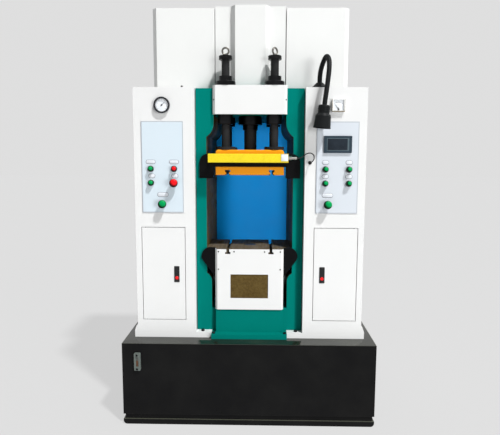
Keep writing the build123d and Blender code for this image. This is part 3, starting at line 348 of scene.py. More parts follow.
# %% [markdown]
# The columns are painted green outside, but the faces that look into the window were left as machined
# plate, now brown with oil. The solid could be split in two, but the normal's X, with the side it lies on,
# already tells the faces apart. Low down, the frame is green all round.

# %% Finish: green frame with bare inner faces
bare_above = 0.555


def split(tree, vector):
    """X, Y and Z of a vector."""
    made = add(tree, "ShaderNodeSeparateXYZ")
    link(tree, vector, made.inputs[0])
    return made.outputs


def own_place(tree):
    """X, Y and Z of the point on the piece."""
    return split(tree, add(tree, "ShaderNodeTexCoord").outputs["Object"])


def frame_paint():
    """Teal paint, and oily brown steel on faces that look across the window."""
    finish, tree, shader = blank_finish("frame_green", 0.02)
    green = mix(tree, cloud(tree, 2.2), (0.0, 0.150, 0.125), (0.0, 0.175, 0.145))
    streaks = noise(tree, 9.0, 4, (1.0, 0.35, 3.0))
    bare = mix(tree, ramp(tree, streaks, 0.35, 0.7), (0.066, 0.043, 0.012), (0.102, 0.068, 0.020))
    place = own_place(tree)
    side = maths(tree, "SIGN", place["X"])
    turned_out = maths(tree, "MULTIPLY", side, split(tree, face_normal(tree))["X"])
    high_enough = ramp(tree, place["Z"], bare_above, bare_above + 0.005)
    amount = maths(tree, "MULTIPLY", ramp(tree, turned_out, -0.1, -0.2), high_enough)
    normal, _ = edge_mask(tree, 0.0015)
    feed(tree, shader, Base_Color=mix(tree, amount, green, bare), Roughness=cloud(tree, 12.0, 0.40, 0.58))
    skin(tree, shader, noise(tree, 380.0, 2), 0.12, normal)
    return finish


finishes["frame_green"] = frame_paint()
print("finish", finishes["frame_green"].name)

# %% [markdown]
# The slide is orange, but its T-slots were milled after painting and are dark with oil, made darker still
# by painted shade, as deep inside a slot. Dark pieces could line the slots, but the place on the slide tells
# as well what lies inside one: near its middle line, low down and behind the front face.

# %% Finish: orange slide with bare slots in painted shade
slide_low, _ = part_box("slide")
slot_x, slot_half_width, slot_depth = 0.106, 0.0132, 0.0242


def coloured(finish):
    """A finish's node tree, its shader and the socket that gives its colour so far."""
    tree = finish.node_tree
    shader = tree.nodes["Principled BSDF"]
    return tree, shader, shader.inputs["Base Color"].links[0].from_socket


def slide_paint():
    """Orange paint, and steel dark with oil and painted shade inside the T-slots."""
    finish = machine_paint("slide_orange", (0.86, 0.31, 0.003), worn=(0.5, 0.22, 0.02))
    tree, shader, orange = coloured(finish)
    place = own_place(tree)
    inside = maths(tree, "COMPARE", maths(tree, "ABSOLUTE", place["X"]), slot_x, slot_half_width)
    slot_top = slide_low.z + slot_depth
    limits = (("Z", slot_top + 0.0002, slot_top), ("Z", slide_low.z + 0.0001, slide_low.z + 0.0003),
              ("Y", slide_low.y + 0.0003, slide_low.y + 0.0006))
    for axis, start, end in limits:
        inside = maths(tree, "MULTIPLY", inside, ramp(tree, place[axis], start, end))
    # Inside the slots the steel is dark with oil and darker still with painted shade.
    slot_oil_and_shade = mix(tree, cloud(tree, 60.0), (0.006, 0.005, 0.004), (0.016, 0.013, 0.010))
    feed(tree, shader, Base_Color=mix(tree, inside, orange, slot_oil_and_shade))
    return finish


finishes["slide_orange"] = slide_paint()
print("finish", finishes["slide_orange"].name)

# %% [markdown]
# The tank is sprayed a deep black with little gloss. Dust lies on it in clouds, and what faces up is
# painted paler, partly as dust and partly as a painted sheen of the light from above. Its edges are rubbed
# paler. Noise, the normal's Z and the edge mask give these three, so that one finish does for all its sides.

# %% Finish: black tank


def tank_black():
    """Black with a thin cloud of dust, a paler top of dust and painted sheen, and paler edges."""
    finish, tree, shader = blank_finish("base_black", 0.10)
    dust = noise(tree, 5.0, 6)
    colour = mix(tree, ramp(tree, dust, 0.4, 0.8), (0.0040, 0.0040, 0.0043), (0.0080, 0.0080, 0.0077))
    # What faces up is painted paler: partly dust, partly a painted sheen of the light from above.
    upward_dust_and_sheen = ramp(tree, split(tree, face_normal(tree))["Z"], 0.6, 0.9, 0.0, 0.8)
    colour = mix(tree, upward_dust_and_sheen, colour, (0.075, 0.079, 0.058))
    normal, mask = edge_mask(tree, 0.002)
    colour = mix(tree, ramp(tree, mask, 0.0, 1.0, 0.0, 0.5), colour, (0.06, 0.06, 0.058))
    feed(tree, shader, Base_Color=colour, Roughness=ramp(tree, dust, 0.3, 0.8, 0.26, 0.44))
    skin(tree, shader, noise(tree, 300.0, 2), 0.15, normal)
    return finish


finishes["base_black"] = tank_black()
print("finish", finishes["base_black"].name)

# %% [markdown]
# Turned and ground steel keep fine marks from the tool: rings round a turned part and straight lines on a
# ground face. Real grooves would cost thousands of faces, so noise that is squeezed across the marks draws
# them in tone, roughness and bump.

# %% Finish: steels


def marked_steel(name, dark, pale, rough, stretch, metal=1.0, gloss=0.3):
    """Steel with tool marks; stretch is small along the marks."""
    finish, tree, shader = blank_finish(name, gloss)
    shader.inputs["Metallic"].default_value = metal
    marks = noise(tree, 90.0, 4, stretch)
    tone = mix(tree, cloud(tree, 11.0, detail=4), dark, pale)
    tone = mix(tree, ramp(tree, marks, 0.4, 0.6, 0.0, 0.35), tone, tint(dark, 0.5))
    feed(tree, shader, Base_Color=tone, Roughness=ramp(tree, marks, 0.3, 0.7, rough - 0.08, rough + 0.1))
    normal, _ = edge_mask(tree, 0.0008)
    skin(tree, shader, marks, 0.08, normal)
    return finish


rings, rings_about_x, rings_about_y = (0.4, 0.4, 12.0), (12.0, 0.4, 0.4), (0.5, 12.0, 0.5)
lines, even_marks = (1.0, 0.06, 1.0), (1.0, 1.0, 1.0)
steels = {
    "rod_black": ((0.012, 0.0122, 0.0126), (0.024, 0.024, 0.025), 0.46, rings, 0.0, 0.12),
    "bush_steel": ((0.014, 0.0145, 0.015), (0.028, 0.028, 0.03), 0.36, rings),
    "nut_steel": ((0.014, 0.0145, 0.015), (0.03, 0.03, 0.031), 0.38, rings),
    "eye_steel": ((0.15, 0.145, 0.13), (0.32, 0.31, 0.28), 0.3, rings),
    "nickel": ((0.48, 0.45, 0.42), (0.66, 0.63, 0.58), 0.24, rings_about_x),
    "bezel_metal": ((0.06, 0.07, 0.065), (0.12, 0.13, 0.12), 0.35, rings_about_y),
    "table_steel": ((0.085, 0.066, 0.040), (0.135, 0.105, 0.066), 0.6, lines, 0.0, 0.05),
    "mesh_bronze": ((0.13, 0.082, 0.02), (0.20, 0.135, 0.04), 0.4, even_marks, 0.5),
}
for name, settings in steels.items():
    finishes[name] = marked_steel(name, *settings)
print("steels", sorted(steels))

# %% [markdown]
# The bar, the cases, the plates and the latches are moulded, with an even colour, a soft gloss and a very
# fine grain. The grain is too small to be modelled, so a faint bump carries it.

# %% Finish: plastics and rubber


def moulded_plastic(name, colour, rough, grain=0.08, coat=0.0, gloss=0.3):
    """Plastic with a fine grain and a faint tone drift."""
    finish, tree, shader = blank_finish(name, gloss)
    shader.inputs["Coat Weight"].default_value = coat
    tone = mix(tree, cloud(tree, 40.0), tint(colour, 0.94), tint(colour, 1.05))
    feed(tree, shader, Base_Color=tone, Roughness=cloud(tree, 160.0, rough - 0.04, rough + 0.06))
    normal, _ = edge_mask(tree, 0.0006)
    skin(tree, shader, noise(tree, 1500.0, 2), grain, normal)
    return finish


plastics = {
    "bar_yellow": dict(colour=(0.72, 0.56, 0.016), rough=0.28),
    "latch_black": dict(colour=(0.012, 0.012, 0.013), rough=0.36),
    "latch_red": dict(colour=(0.75, 0.01, 0.012), rough=0.25),
    "case_black": dict(colour=(0.010, 0.012, 0.018), rough=0.25),
    "needle_black": dict(colour=(0.01, 0.01, 0.01), rough=0.4),
    "screen_grey": dict(colour=(0.026, 0.042, 0.056), rough=0.42, gloss=0.15),
    "screen_bezel": dict(colour=(0.070, 0.100, 0.115), rough=0.4, gloss=0.15),
    "cable_black": dict(colour=(0.014, 0.014, 0.014), rough=0.5, grain=0.2),
    "meter_white": dict(colour=(0.82, 0.83, 0.82), rough=0.25, coat=0.3),
    "gauge_grey": dict(colour=(0.10, 0.118, 0.108), rough=0.35),
    "dial_white": dict(colour=(0.80, 0.84, 0.88), rough=0.45),
    "plate_white": dict(colour=(0.63, 0.66, 0.70), rough=0.35),
    "plate_rim": dict(colour=(0.13, 0.135, 0.16), rough=0.4),
}
for name, settings in plastics.items():
    finishes[name] = moulded_plastic(name, **settings)
print("plastics", sorted(plastics))

# %% [markdown]
# A button's cap is moulded in one colour, and shade is painted on it: the face that turns up and to the
# right, towards the sun, keeps its colour, and the lower edge and the sides are painted dark. A painted
# picture would need an unwrapped map. Here the normal tells them apart, because all the buttons face
# the front.

# %% Finish: button caps
lit_side = (0.30, -0.85, 0.43)
painted_shade_share = 0.06


def button_cap(name, colour):
    """Cap in its own colour, with painted shade on its lower edge and sides."""
    finish = moulded_plastic(name, colour, 0.30, gloss=0.10)
    tree, shader, own_colour = coloured(finish)
    # Where the cap turns away from the sun's side, painted shade darkens its colour.
    lit_share = ramp(tree, dot(tree, face_normal(tree), lit_side), 0.60, 0.82)
    feed(tree, shader, Base_Color=mix(tree, lit_share, tint(colour, painted_shade_share), own_colour))
    return finish


finishes["button_green"] = button_cap("button_green", (0.0, 0.26, 0.068))
finishes["button_red"] = button_cap("button_red", (0.72, 0.008, 0.012))
print("finishes", len(finishes))

# %% [markdown]
# The two control panels are coated sheets with a printed grey line just inside the edge. The left one is a
# pale blue, the right one nearly white. The line could be a thin frame laid on the sheet, but print has no
# height, so the side and the line come from the place on the node that holds both panels.

# %% Finish: control panels
panel_low, panel_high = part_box("control_panels")
panel_middle_z = (panel_low.z + panel_high.z) / 2
panel_half_tall = (panel_high.z - panel_low.z) / 2
panel_half_wide = 0.100
panel_x = panel_high.x - panel_half_wide
pale_blue, near_white, line_grey = (0.560, 0.643, 0.700), (0.555, 0.595, 0.640), (0.38, 0.41, 0.45)


def panel_coat():
    """Pale coat with a border line."""
    finish, tree, shader = blank_finish("panel_paint")
    place = own_place(tree)
    coat = mix(tree, ramp(tree, place["X"], -0.01, 0.01), pale_blue, near_white)
    borders = []
    for axis, middle, half in (("X", panel_x, panel_half_wide), ("Z", panel_middle_z, panel_half_tall)):
        centred = maths(tree, "SUBTRACT", maths(tree, "ABSOLUTE", place[axis]), middle)
        borders.append(ramp(tree, maths(tree, "ABSOLUTE", centred), half - 0.0040, half - 0.0036))
    colour = mix(tree, maths(tree, "MAXIMUM", *borders), coat, line_grey)
    feed(tree, shader, Base_Color=colour, Roughness=cloud(tree, 20.0, 0.3, 0.4))
    normal, _ = edge_mask(tree, 0.0006)
    skin(tree, shader, noise(tree, 500.0, 2), 0.06, normal)
    return finish


finishes["panel_paint"] = panel_coat()
print("finish", finishes["panel_paint"].name)

# %% [markdown]
# Every solid has one finish. They could be given one by one, but each node of the model names its finish in
# the record, so one loop dresses them all.

# %% Give the solids their finishes
for entry in frame["record"]["subparts"]:
    for place in frame["nodes"][entry["node"]].material_slots:
        place.material = finishes[entry["material_slot"]]

# %% [markdown]
# The bar's cable leaves its gland, rises a little, loops round and goes into the right cabinet through a
# grommet. A tube could be built ring by ring, but a spline with the same control points as its solid stays
# smooth, takes a round section by itself and gives its own length.

# %% Cable
cable_points = [
    (0.2230, -0.3445, 1.3000), (0.2410, -0.3445, 1.3000), (0.2580, -0.3500, 1.3150),
    (0.2740, -0.3550, 1.3250), (0.2910, -0.3580, 1.3250), (0.3030, -0.3580, 1.3130),
    (0.3040, -0.3540, 1.2960), (0.2960, -0.3430, 1.2850), (0.2880, -0.3300, 1.2790),
    (0.2880, -0.3150, 1.2790),
]
cable_radius = 0.0025


def smooth_line(name, points):
    """A NURBS curve object that uses the points as its controls."""
    line = bpy.data.curves.new(name, "CURVE")
    line.dimensions = "3D"
    spline = line.splines.new("NURBS")
    spline.points.add(len(points) - 1)
    for control, point in zip(spline.points, points):
        control.co = (*point, 1)
    spline.order_u = 3
    spline.use_endpoint_u = True
    spline.resolution_u = 12
    made = bpy.data.objects.new(name, line)
    scene.collection.objects.link(made)
    return made


def line_points(curve):
    """Points along a curve that has no bevel yet."""
    bpy.context.view_layer.update()
    graph = bpy.context.evaluated_depsgraph_get()
    mesh = bpy.data.meshes.new_from_object(curve.evaluated_get(graph))
    points = [vertex.co.copy() for vertex in mesh.vertices]
    bpy.data.meshes.remove(mesh)
    return points


def run_length(points):
    """Length of a line of points."""
    return sum((after - before).length for before, after in zip(points, points[1:]))


cable = smooth_line("sensor_cable", cable_points)
cable_length = run_length(line_points(cable))
cable.data.bevel_depth = cable_radius
cable.data.bevel_resolution = 4
cable.data.use_fill_caps = True
cable.data.materials.append(finishes["cable_black"])
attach(cable, "frame")
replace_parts(cable, "bar_cable")
print("cable length", round(cable_length, 4))

# %% [markdown]
# Screws, dials and knobs are turned parts. Each could be a stack of cylinders, but a profile spun once about
# its axis gives the whole shape with clean rings. A shape is made at the origin and then put into place,
# and a finished piece gets its finish and rides on the body that carries it.

# %% Helpers for turned pieces
smooth_angle = radians(35)


def front(x, y, z):
    """Place for a shape made along +Z, so that it points to the front instead."""
    return Matrix.Translation((x, y, z)) @ Matrix.Rotation(radians(90), 4, "X")


def put(bm, shape, place):
    """Move a finished shape into place and add it to a mesh."""
    bmesh.ops.transform(shape, matrix=place, verts=shape.verts)
    spare = bpy.data.meshes.new("spare")
    shape.to_mesh(spare)
    shape.free()
    bm.from_mesh(spare)
    bpy.data.meshes.remove(spare)


def spun(bm, profile, place, steps):
    """Spin (radius, height) points about Z."""
    shape = bmesh.new()
    ring = [shape.verts.new((radius, 0, height)) for radius, height in profile]
    edges = [shape.edges.new(pair) for pair in zip(ring, ring[1:])]
    bmesh.ops.spin(shape, geom=ring + edges, cent=(0, 0, 0), axis=(0, 0, 1), angle=2 * pi, steps=steps,
                   use_merge=True)
    bmesh.ops.remove_doubles(shape, verts=shape.verts, dist=1e-6)
    put(bm, shape, place)


def piece(name, bm, finish, body="frame"):
    """Finish a mesh as a piece of the press that rides on one body."""
    bmesh.ops.recalc_face_normals(bm, faces=bm.faces)
    mesh = bpy.data.meshes.new(name)
    bm.to_mesh(mesh)
    bm.free()
    for polygon in mesh.polygons:
        polygon.use_smooth = True
    mesh.set_sharp_from_angle(angle=smooth_angle)
    made = bpy.data.objects.new(name, mesh)
    scene.collection.objects.link(made)
    mesh.materials.append(finishes[finish])
    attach(made, body)
    print(name, len(mesh.polygons), "faces")
    return made


# %% [markdown]
# The screws that hold the front covers are black socket heads, and the feet are held by larger ones. Discs
# would look painted on, so each head is a small profile with a well in its top, spun once.

# %% Black screws and bolts
cover_screw, foot_bolt, bed_bolt = (0.0034, 0.0016), (0.0085, 0.0090), (0.0075, 0.0080)
foot_bolts, bed_bolt_place = ((0.232, -0.295, 0.438), (0.232, 0.330, 0.438)), (0.176, -0.322, 0.435)
level_bolt, level_bolt_offset = (0.0049, 0.0012), 0.0345
level_x, level_z, level_face = -0.537, 0.322, -0.425
table_face = -0.305
table_screws = ((-0.152, 0.844), (-0.075, 0.844), (0.075, 0.844), (0.152, 0.844), (-0.152, 0.756),
                (0.152, 0.756))
crown_low, crown_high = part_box("crown_cover")
crown_screw_inset, crown_screw_z = 0.006, 1.576


def socket_head(bm, place, radius, height):
    """Cap screw head standing on its local XY plane."""
    well, floor_height = radius * 0.5, height * 0.4
    profile = [(0, floor_height), (well, floor_height), (well, height), (radius * 0.86, height),
               (radius, height * 0.84), (radius, 0)]
    spun(bm, profile, place, 16)


bm = bmesh.new()
for x, z in table_screws:
    socket_head(bm, front(x, table_face, z), *cover_screw)
for side in (-1, 1):
    x, y = side * (crown_high.x - crown_screw_inset), crown_low.y + crown_screw_inset
    turn = Matrix.Rotation(radians(45 * side), 4, "Z") @ Matrix.Rotation(radians(90), 4, "X")
    socket_head(bm, Matrix.Translation((x, y, crown_screw_z)) @ turn, *cover_screw)
for side in (-1, 1):
    for x, y, z in foot_bolts:
        socket_head(bm, Matrix.Translation((side * x, y, z)), *foot_bolt)
    x, y, z = bed_bolt_place
    socket_head(bm, Matrix.Translation((side * x, y, z)), *bed_bolt)
    socket_head(bm, front(level_x, level_face, level_z + side * level_bolt_offset), *level_bolt)
piece("black_screws", bm, "bush_steel")

# %% [markdown]
# The sheets on the back are held by rows of bright screws: the blue guard, the two cabinets and the upper
# covers. The photograph doesn't show them, so they are guessed at an even pitch. The head is the same one,
# turned to the back.

# %% Sheet screws on the back
guard_screw, sheet_screw = (0.0050, 0.0030), (0.0040, 0.0022)
guard_back, cabinet_back, cover_back = 0.3125, 0.310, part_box("side_upper_covers")[1].y
guard_column = 0.225
guard_rows = (0.606, 0.832, 1.053, 1.274, 1.500)
cabinet_columns, cabinet_rows = (0.278, 0.541), (0.520, 0.790, 1.060, 1.330, 1.600)
cover_columns, cover_rows = (0.190, 0.464), (1.660, 1.830, 2.000)


def back(x, y, z):
    """Place for a shape made along +Z, so that it points to the back instead."""
    return Matrix.Translation((x, y, z)) @ Matrix.Rotation(radians(-90), 4, "X")


bm = bmesh.new()
for x in (-guard_column, guard_column):
    for z in guard_rows:
        socket_head(bm, back(x, guard_back, z), *guard_screw)
for side in (-1, 1):
    for x in cabinet_columns:
        for z in cabinet_rows:
            socket_head(bm, back(side * x, cabinet_back, z), *sheet_screw)
    for x in cover_columns:
        for z in cover_rows:
            socket_head(bm, back(side * x, cover_back, z), *sheet_screw)
piece("sheet_screws", bm, "eye_steel")

# %% [markdown]
# The pressure gauge has a white printed dial behind glass. The print could be a picture, but flat bars laid
# round a thin disc stay sharp at any size. Every fifth one is longer.

# %% Pressure gauge dial
dial_x, dial_z, dial_seat = 0.416, 1.548, -0.321
dial_radius, dial_thickness, mark_height = 0.0326, 0.0010, 0.0012
gauge_sweep, gauge_steps, steps_per_long_mark = 270, 40, 5


def mark(bm, place, angle, width, inner, outer):
    """Flat bar that points outwards; the angle turns clockwise from the top."""
    shape = bmesh.new()
    corners = [(-width / 2, inner), (width / 2, inner), (width / 2, outer), (-width / 2, outer)]
    shape.faces.new([shape.verts.new((x, y, mark_height)) for x, y in corners])
    put(bm, shape, place @ Matrix.Rotation(-angle, 4, "Z"))


gauge_place = front(-dial_x, dial_seat, dial_z)
bm = bmesh.new()
spun(bm, [(0, dial_thickness), (dial_radius, dial_thickness), (dial_radius, 0)], gauge_place, 48)
piece("gauge_dial", bm, "dial_white")
bm = bmesh.new()
for step in range(gauge_steps + 1):
    width, inner = (0.0006, 0.0250) if step % steps_per_long_mark else (0.0010, 0.0215)
    angle = radians(gauge_sweep * step / gauge_steps - gauge_sweep / 2)
    mark(bm, gauge_place, angle, width, inner, 0.0290)
dial_rim = [(0.0296, 0.0011), (0.0296, 0.0024), (dial_radius, 0.0030), (dial_radius, 0.0011)]
spun(bm, dial_rim, gauge_place, 48)
piece("gauge_marks", bm, "needle_black")

# %% [markdown]
# Dials, plates and glasses are flat boxes. The edges of a plain cube catch no light, so the slab's upright
# corners are rounded and its top edges softened before it is put into place.

# %% Helpers for slabs


def box(size):
    """Box that stands on the middle of its local XY plane."""
    shape = bmesh.new()
    stand = Matrix.Translation((0, 0, size[2] / 2)) @ Matrix.Diagonal((*size, 1))
    bmesh.ops.create_cube(shape, size=1, matrix=stand)
    return shape


def soften(shape, edges, offset, segments):
    """Round some edges of a shape."""
    bmesh.ops.bevel(shape, geom=edges, offset=offset, segments=segments, profile=0.5, affect="EDGES",
                    material=-1)


def slab(bm, size, place, soft, corner=0.0):
    """Box with rounded upright corners and softened top edges."""
    shape = box(size)
    if corner:
        upright = [e for e in shape.edges if abs(e.verts[0].co.z - e.verts[1].co.z) > size[2] / 2]
        soften(shape, upright, corner, 5)
    top = [e for e in shape.edges if all(v.co.z > size[2] * 0.99 for v in e.verts)]
    soften(shape, top, soft, 2)
    put(bm, shape, place)


print("slab helpers ready")

# %% [markdown]
# The square meter has a fan of marks above its pointer's pivot, a dark cover over the movement below, and a
# bronze trim along its rim. They are bars and slabs as on the gauge, so that both dials look alike.

# %% Panel meter dial
meter_side, meter_pivot_z, meter_face = 0.0494, 1.532, -0.329
meter_sweep, meter_steps = 80, 20
bm = bmesh.new()
slab(bm, (meter_side, meter_side, dial_thickness), front(dial_x, dial_seat, dial_z), 0.0002)
piece("meter_dial", bm, "dial_white")
bm = bmesh.new()
for step in range(meter_steps + 1):
    width, outer = (0.0005, 0.0325) if step % steps_per_long_mark else (0.0009, 0.0345)
    angle = radians(meter_sweep * step / meter_steps - meter_sweep / 2)
    mark(bm, front(dial_x, dial_seat, meter_pivot_z), angle, width, 0.0290, outer)
slab(bm, (0.0080, 0.0100, 0.0014), front(dial_x, dial_seat, 1.5285), 0.0003)
piece("meter_marks", bm, "needle_black")
bm = bmesh.new()
slab(bm, (0.0600, 0.0040, 0.0006), front(dial_x, meter_face, 1.5200), 0.0002)
for side in (-1, 1):
    slab(bm, (0.0018, 0.0540, 0.0006), front(dial_x + side * 0.0291, meter_face, 1.5490), 0.0002)
piece("meter_trim", bm, "mesh_bronze")

# %% [markdown]
# Glass over the dials only has to catch the light. True refraction would need many more samples, so it is a
# thin clear shell with low alpha. The operator screen is a dark sheet of glass on a matt frame.

# %% Glasses
screen_x, bezel_x, screen_z, screen_face = 0.416, 0.418, 1.366, -0.3245
gauge_glass_seat, meter_glass_seat = -0.3285, -0.3272


def clear_glass():
    """Clear sheet with a faint smear that breaks its gloss."""
    finish, tree, shader = blank_finish("clear_glass")
    feed(tree, shader, Roughness=cloud(tree, 60.0, 0.03, 0.09), Alpha=cloud(tree, 25.0, 0.06, 0.10))
    return finish


def screen_glass():
    """Dark screen glass with faint smears."""
    finish, tree, shader = blank_finish("screen_glass", 0.15)
    colour = mix(tree, cloud(tree, 30.0), (0.011, 0.016, 0.023), (0.018, 0.025, 0.034))
    feed(tree, shader, Base_Color=colour, Roughness=cloud(tree, 90.0, 0.08, 0.2))
    return finish


finishes["clear_glass"], finishes["screen_glass"] = clear_glass(), screen_glass()
bm = bmesh.new()
gauge_glass = [(0, 0.0014), (0.020, 0.0011), (0.0328, 0.0004), (0.0328, 0)]
spun(bm, gauge_glass, front(-dial_x, gauge_glass_seat, dial_z), 48)
slab(bm, (0.0496, 0.0496, 0.0010), front(dial_x, meter_glass_seat, dial_z), 0.0003)
piece("dial_glasses", bm, "clear_glass")
bm = bmesh.new()
slab(bm, (0.0940, 0.0530, 0.0016), front(screen_x, screen_face, screen_z), 0.0003)
piece("screen_glass", bm, "screen_glass")
bm = bmesh.new()
slab(bm, (0.1080, 0.0640, 0.0010), front(bezel_x, screen_face, screen_z), 0.0003, 0.0020)
piece("screen_bezel", bm, "screen_bezel")

# %% [markdown]
# Over each button sits a small name plate with round ends, left blank here: a grey rim with a white plate
# on it. A rim could be cut from the plate, but two slabs, the upper one smaller, do the same with fewer
# faces. The bar carries one square plate at its right end.

# %% Name plates
panel_face, plate_rim_width, round_end_share = -0.318, 0.0016, 0.485
wide_plate, small_plate, start_plate = (0.047, 0.020), (0.033, 0.021), (0.054, 0.022)
plate_places = {
    wide_plate: ((-0.474, 1.281), (-0.362, 1.281)),
    small_plate: ((-0.470, 1.214), (-0.359, 1.214), (0.362, 1.281), (0.474, 1.281), (0.362, 1.214),
                  (0.474, 1.214)),
    start_plate: ((-0.418, 1.124), (0.374, 1.124)),
}
rims, plates = bmesh.new(), bmesh.new()


def name_plate(place, width, height):
    """Blank plate with round ends inside a thin rim."""
    slab(rims, (width, height, 0.0007), place, 0.0002, height * round_end_share)
    inner_width, inner_height = width - 2 * plate_rim_width, height - 2 * plate_rim_width
    slab(plates, (inner_width, inner_height, 0.0010), place, 0.0002, inner_height * round_end_share)


for size, places in plate_places.items():
    for x, z in places:
        name_plate(front(x, panel_face, z), *size)
bar_plate_place = front(0.165, -0.362, 1.3025)
slab(rims, (0.034, 0.033, 0.0004), bar_plate_place, 0.0001, 0.0010)
slab(plates, (0.032, 0.031, 0.0007), bar_plate_place, 0.0002, 0.0010)
piece("plate_rims", rims, "plate_rim")
piece("name_plates", plates, "plate_white")

# %% [markdown]
# A button's face is moulded with a low dome, which catches one highlight. The solid's cap is flat, so each
# dome is a spun arc that sits on it. It rides on its own button, and goes in when the button is pressed.

# %% Button domes
dome_rise_share, dome_seat_share, dome_steps = 0.50, 0.97, 5
button_slots = {entry["node"]: entry["material_slot"] for entry in frame["record"]["subparts"]
                if entry["material_slot"] in ("button_green", "button_red")}
for node, finish in button_slots.items():
    low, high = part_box(node)
    radius = (high.x - low.x) / 2
    rise, seat = radius * dome_rise_share, radius * dome_seat_share
    angles = [step * pi / (2 * dome_steps) for step in range(dome_steps)]
    arc = [(seat * cos(angle), rise * sin(angle)) for angle in angles] + [(0, rise)]
    bm = bmesh.new()
    spun(bm, arc, front((low.x + high.x) / 2, low.y, (low.z + high.z) / 2), 32)
    piece(node + "_dome", bm, finish, node)

# %% [markdown]
# Behind the table cover's window hangs a bronze cloth of wire. Real cloth is woven, which would take many
# more faces. Here each wire is a straight rod with six sides, the uprights just behind the level ones, and
# a thin sheet at the back closes what is left.

# %% Wire mesh
mesh_low, mesh_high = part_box("table_mesh")
mesh_width, mesh_height = mesh_high.x - mesh_low.x, mesh_high.z - mesh_low.z
wire_pitch, wire_radius, cloth_thickness = 0.0058, 0.0011, 0.0003


def wire(bm, start, end):
    """Straight wire with six sides."""
    shape = bmesh.new()
    run = Vector(end) - Vector(start)
    bmesh.ops.create_cone(shape, cap_ends=True, segments=6, radius1=wire_radius, radius2=wire_radius,
                          depth=run.length)
    turn = run.to_track_quat("Z", "Y").to_matrix().to_4x4()
    put(bm, shape, Matrix.Translation((Vector(start) + Vector(end)) / 2) @ turn)


bm = bmesh.new()
front_y = mesh_low.y + wire_radius
behind_y = front_y + wire_radius
rows, columns = int(mesh_height / wire_pitch), int(mesh_width / wire_pitch)
for row in range(1, rows):
    z = mesh_low.z + row * mesh_height / rows
    wire(bm, (mesh_low.x, front_y, z), (mesh_high.x, front_y, z))
for column in range(1, columns):
    x = mesh_low.x + column * mesh_width / columns
    wire(bm, (x, behind_y, mesh_low.z), (x, behind_y, mesh_high.z))
cloth_place = front(0, mesh_high.y, (mesh_low.z + mesh_high.z) / 2)
slab(bm, (mesh_width, mesh_height, cloth_thickness), cloth_place, 0.0001)
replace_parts(piece("wire_mesh", bm, "mesh_bronze"), "table_mesh")

# %% [markdown]
# The level gauge shows the tank's oil through a small window: amber up to the level, clear above it. Oil
# and glass could be two pieces, but at this size one slab is enough, coloured by its height.

# %% Oil level window
oil_level, window_seat = 0.3285, -0.415


def sight_glass():
    """Amber below the oil's level, pale above it."""
    finish, tree, shader = blank_finish("sight_glass")
    oil = mix(tree, cloud(tree, 60.0), (0.060, 0.026, 0.012), (0.095, 0.042, 0.020))
    above = ramp(tree, own_place(tree)["Z"], oil_level, oil_level + 0.0005)
    colour = mix(tree, above, oil, (0.06, 0.065, 0.06))
    feed(tree, shader, Base_Color=colour, Roughness=cloud(tree, 80.0, 0.05, 0.16))
    return finish


finishes["sight_glass"] = sight_glass()
bm = bmesh.new()
slab(bm, (0.0116, 0.0456, 0.0040), front(level_x, window_seat, level_z), 0.0008)
piece("oil_window", bm, "sight_glass")

# %% [markdown]
# A gooseneck is a steel strip wound into a tube, so its skin is a row of close rings. A bump would leave its
# outline smooth, so real rings are set along the neck's own centre line, each square to the run.

# %% Lamp neck
neck_foot = Vector((0.333, -0.262, 1.659))
neck_rise, neck_side, neck_front = 0.118, 0.035, 0.102
neck_shares = [
    (0.0, 0.0, 0.0), (0.0, 0.0, 0.34), (0.26, 0.05, 0.69), (0.6, 0.18, 0.96), (0.8, 0.36, 1.0),
    (0.98, 0.56, 0.87), (1.0, 0.74, 0.59), (0.86, 0.88, 0.19), (0.64, 0.97, -0.31), (0.45, 1.0, -0.7),
    (0.36, 1.0, -0.97),
]
neck_points = [neck_foot + Vector((side * neck_side, -ahead * neck_front, rise * neck_rise))
               for side, ahead, rise in neck_shares]
guide = smooth_line("neck_guide", neck_points)
neck_run = line_points(guide)
bpy.data.objects.remove(guide)


def along(points, distance):
    """Place and direction at a distance along a line of points."""
    for before, after in zip(points, points[1:]):
        run = after - before
        if distance <= run.length:
            return before + run * (distance / run.length), run.normalized()
        distance -= run.length
    return points[-1], (points[-1] - points[-2]).normalized()


def facing_place(point, direction):
    """Place whose local Z follows a direction."""
    return Matrix.Translation(point) @ direction.to_track_quat("Z", "Y").to_matrix().to_4x4()


bm = bmesh.new()
ring_pitch, neck_radius = 0.0055, 0.011
inner_radius, outer_radius = neck_radius - 0.0004, neck_radius + 0.0006
ring = [(inner_radius, -0.0022), (outer_radius, -0.0010), (outer_radius, 0.0010), (inner_radius, 0.0022)]
neck_length = run_length(neck_run)
for step in range(1, int(neck_length / ring_pitch)):
    spun(bm, ring, facing_place(*along(neck_run, step * ring_pitch)), 16)
piece("neck_rings", bm, "lamp_black")
print("neck", round(neck_length, 4))

# %% [markdown]
# Inside the shade sits a plain round bulb. The shade's mouth has a rolled bead, and its socket three ribs.
# All are round about the line on which the lamp hangs, so each is a profile spun about it.

# %% Lamp bulb and trim
hang = (neck_points[-1] - neck_points[-2]).normalized()
socket_length = 0.038
socket_place = facing_place(neck_points[-1], hang)
shade_place = facing_place(neck_points[-1] + hang * socket_length, hang)
bulb = [(0.0105, 0), (0.0115, 0.010), (0.0200, 0.022), (0.0240, 0.034), (0.0215, 0.046), (0.0120, 0.055),
        (0, 0.058)]
bm = bmesh.new()
spun(bm, bulb, shade_place, 24)
piece("lamp_bulb", bm, "plate_white")
bead = [(0.0392, 0.0640), (0.0408, 0.0645), (0.0412, 0.0660), (0.0404, 0.0672), (0.0388, 0.0668)]
bm = bmesh.new()
spun(bm, bead, shade_place, 40)
for drop in (0.010, 0.018, 0.026):
    rib = [(0.0265, drop - 0.0022), (0.0282, drop - 0.0012), (0.0282, drop + 0.0012), (0.0265, drop + 0.0022)]
    spun(bm, rib, socket_place, 32)
piece("shade_trim", bm, "lamp_black")
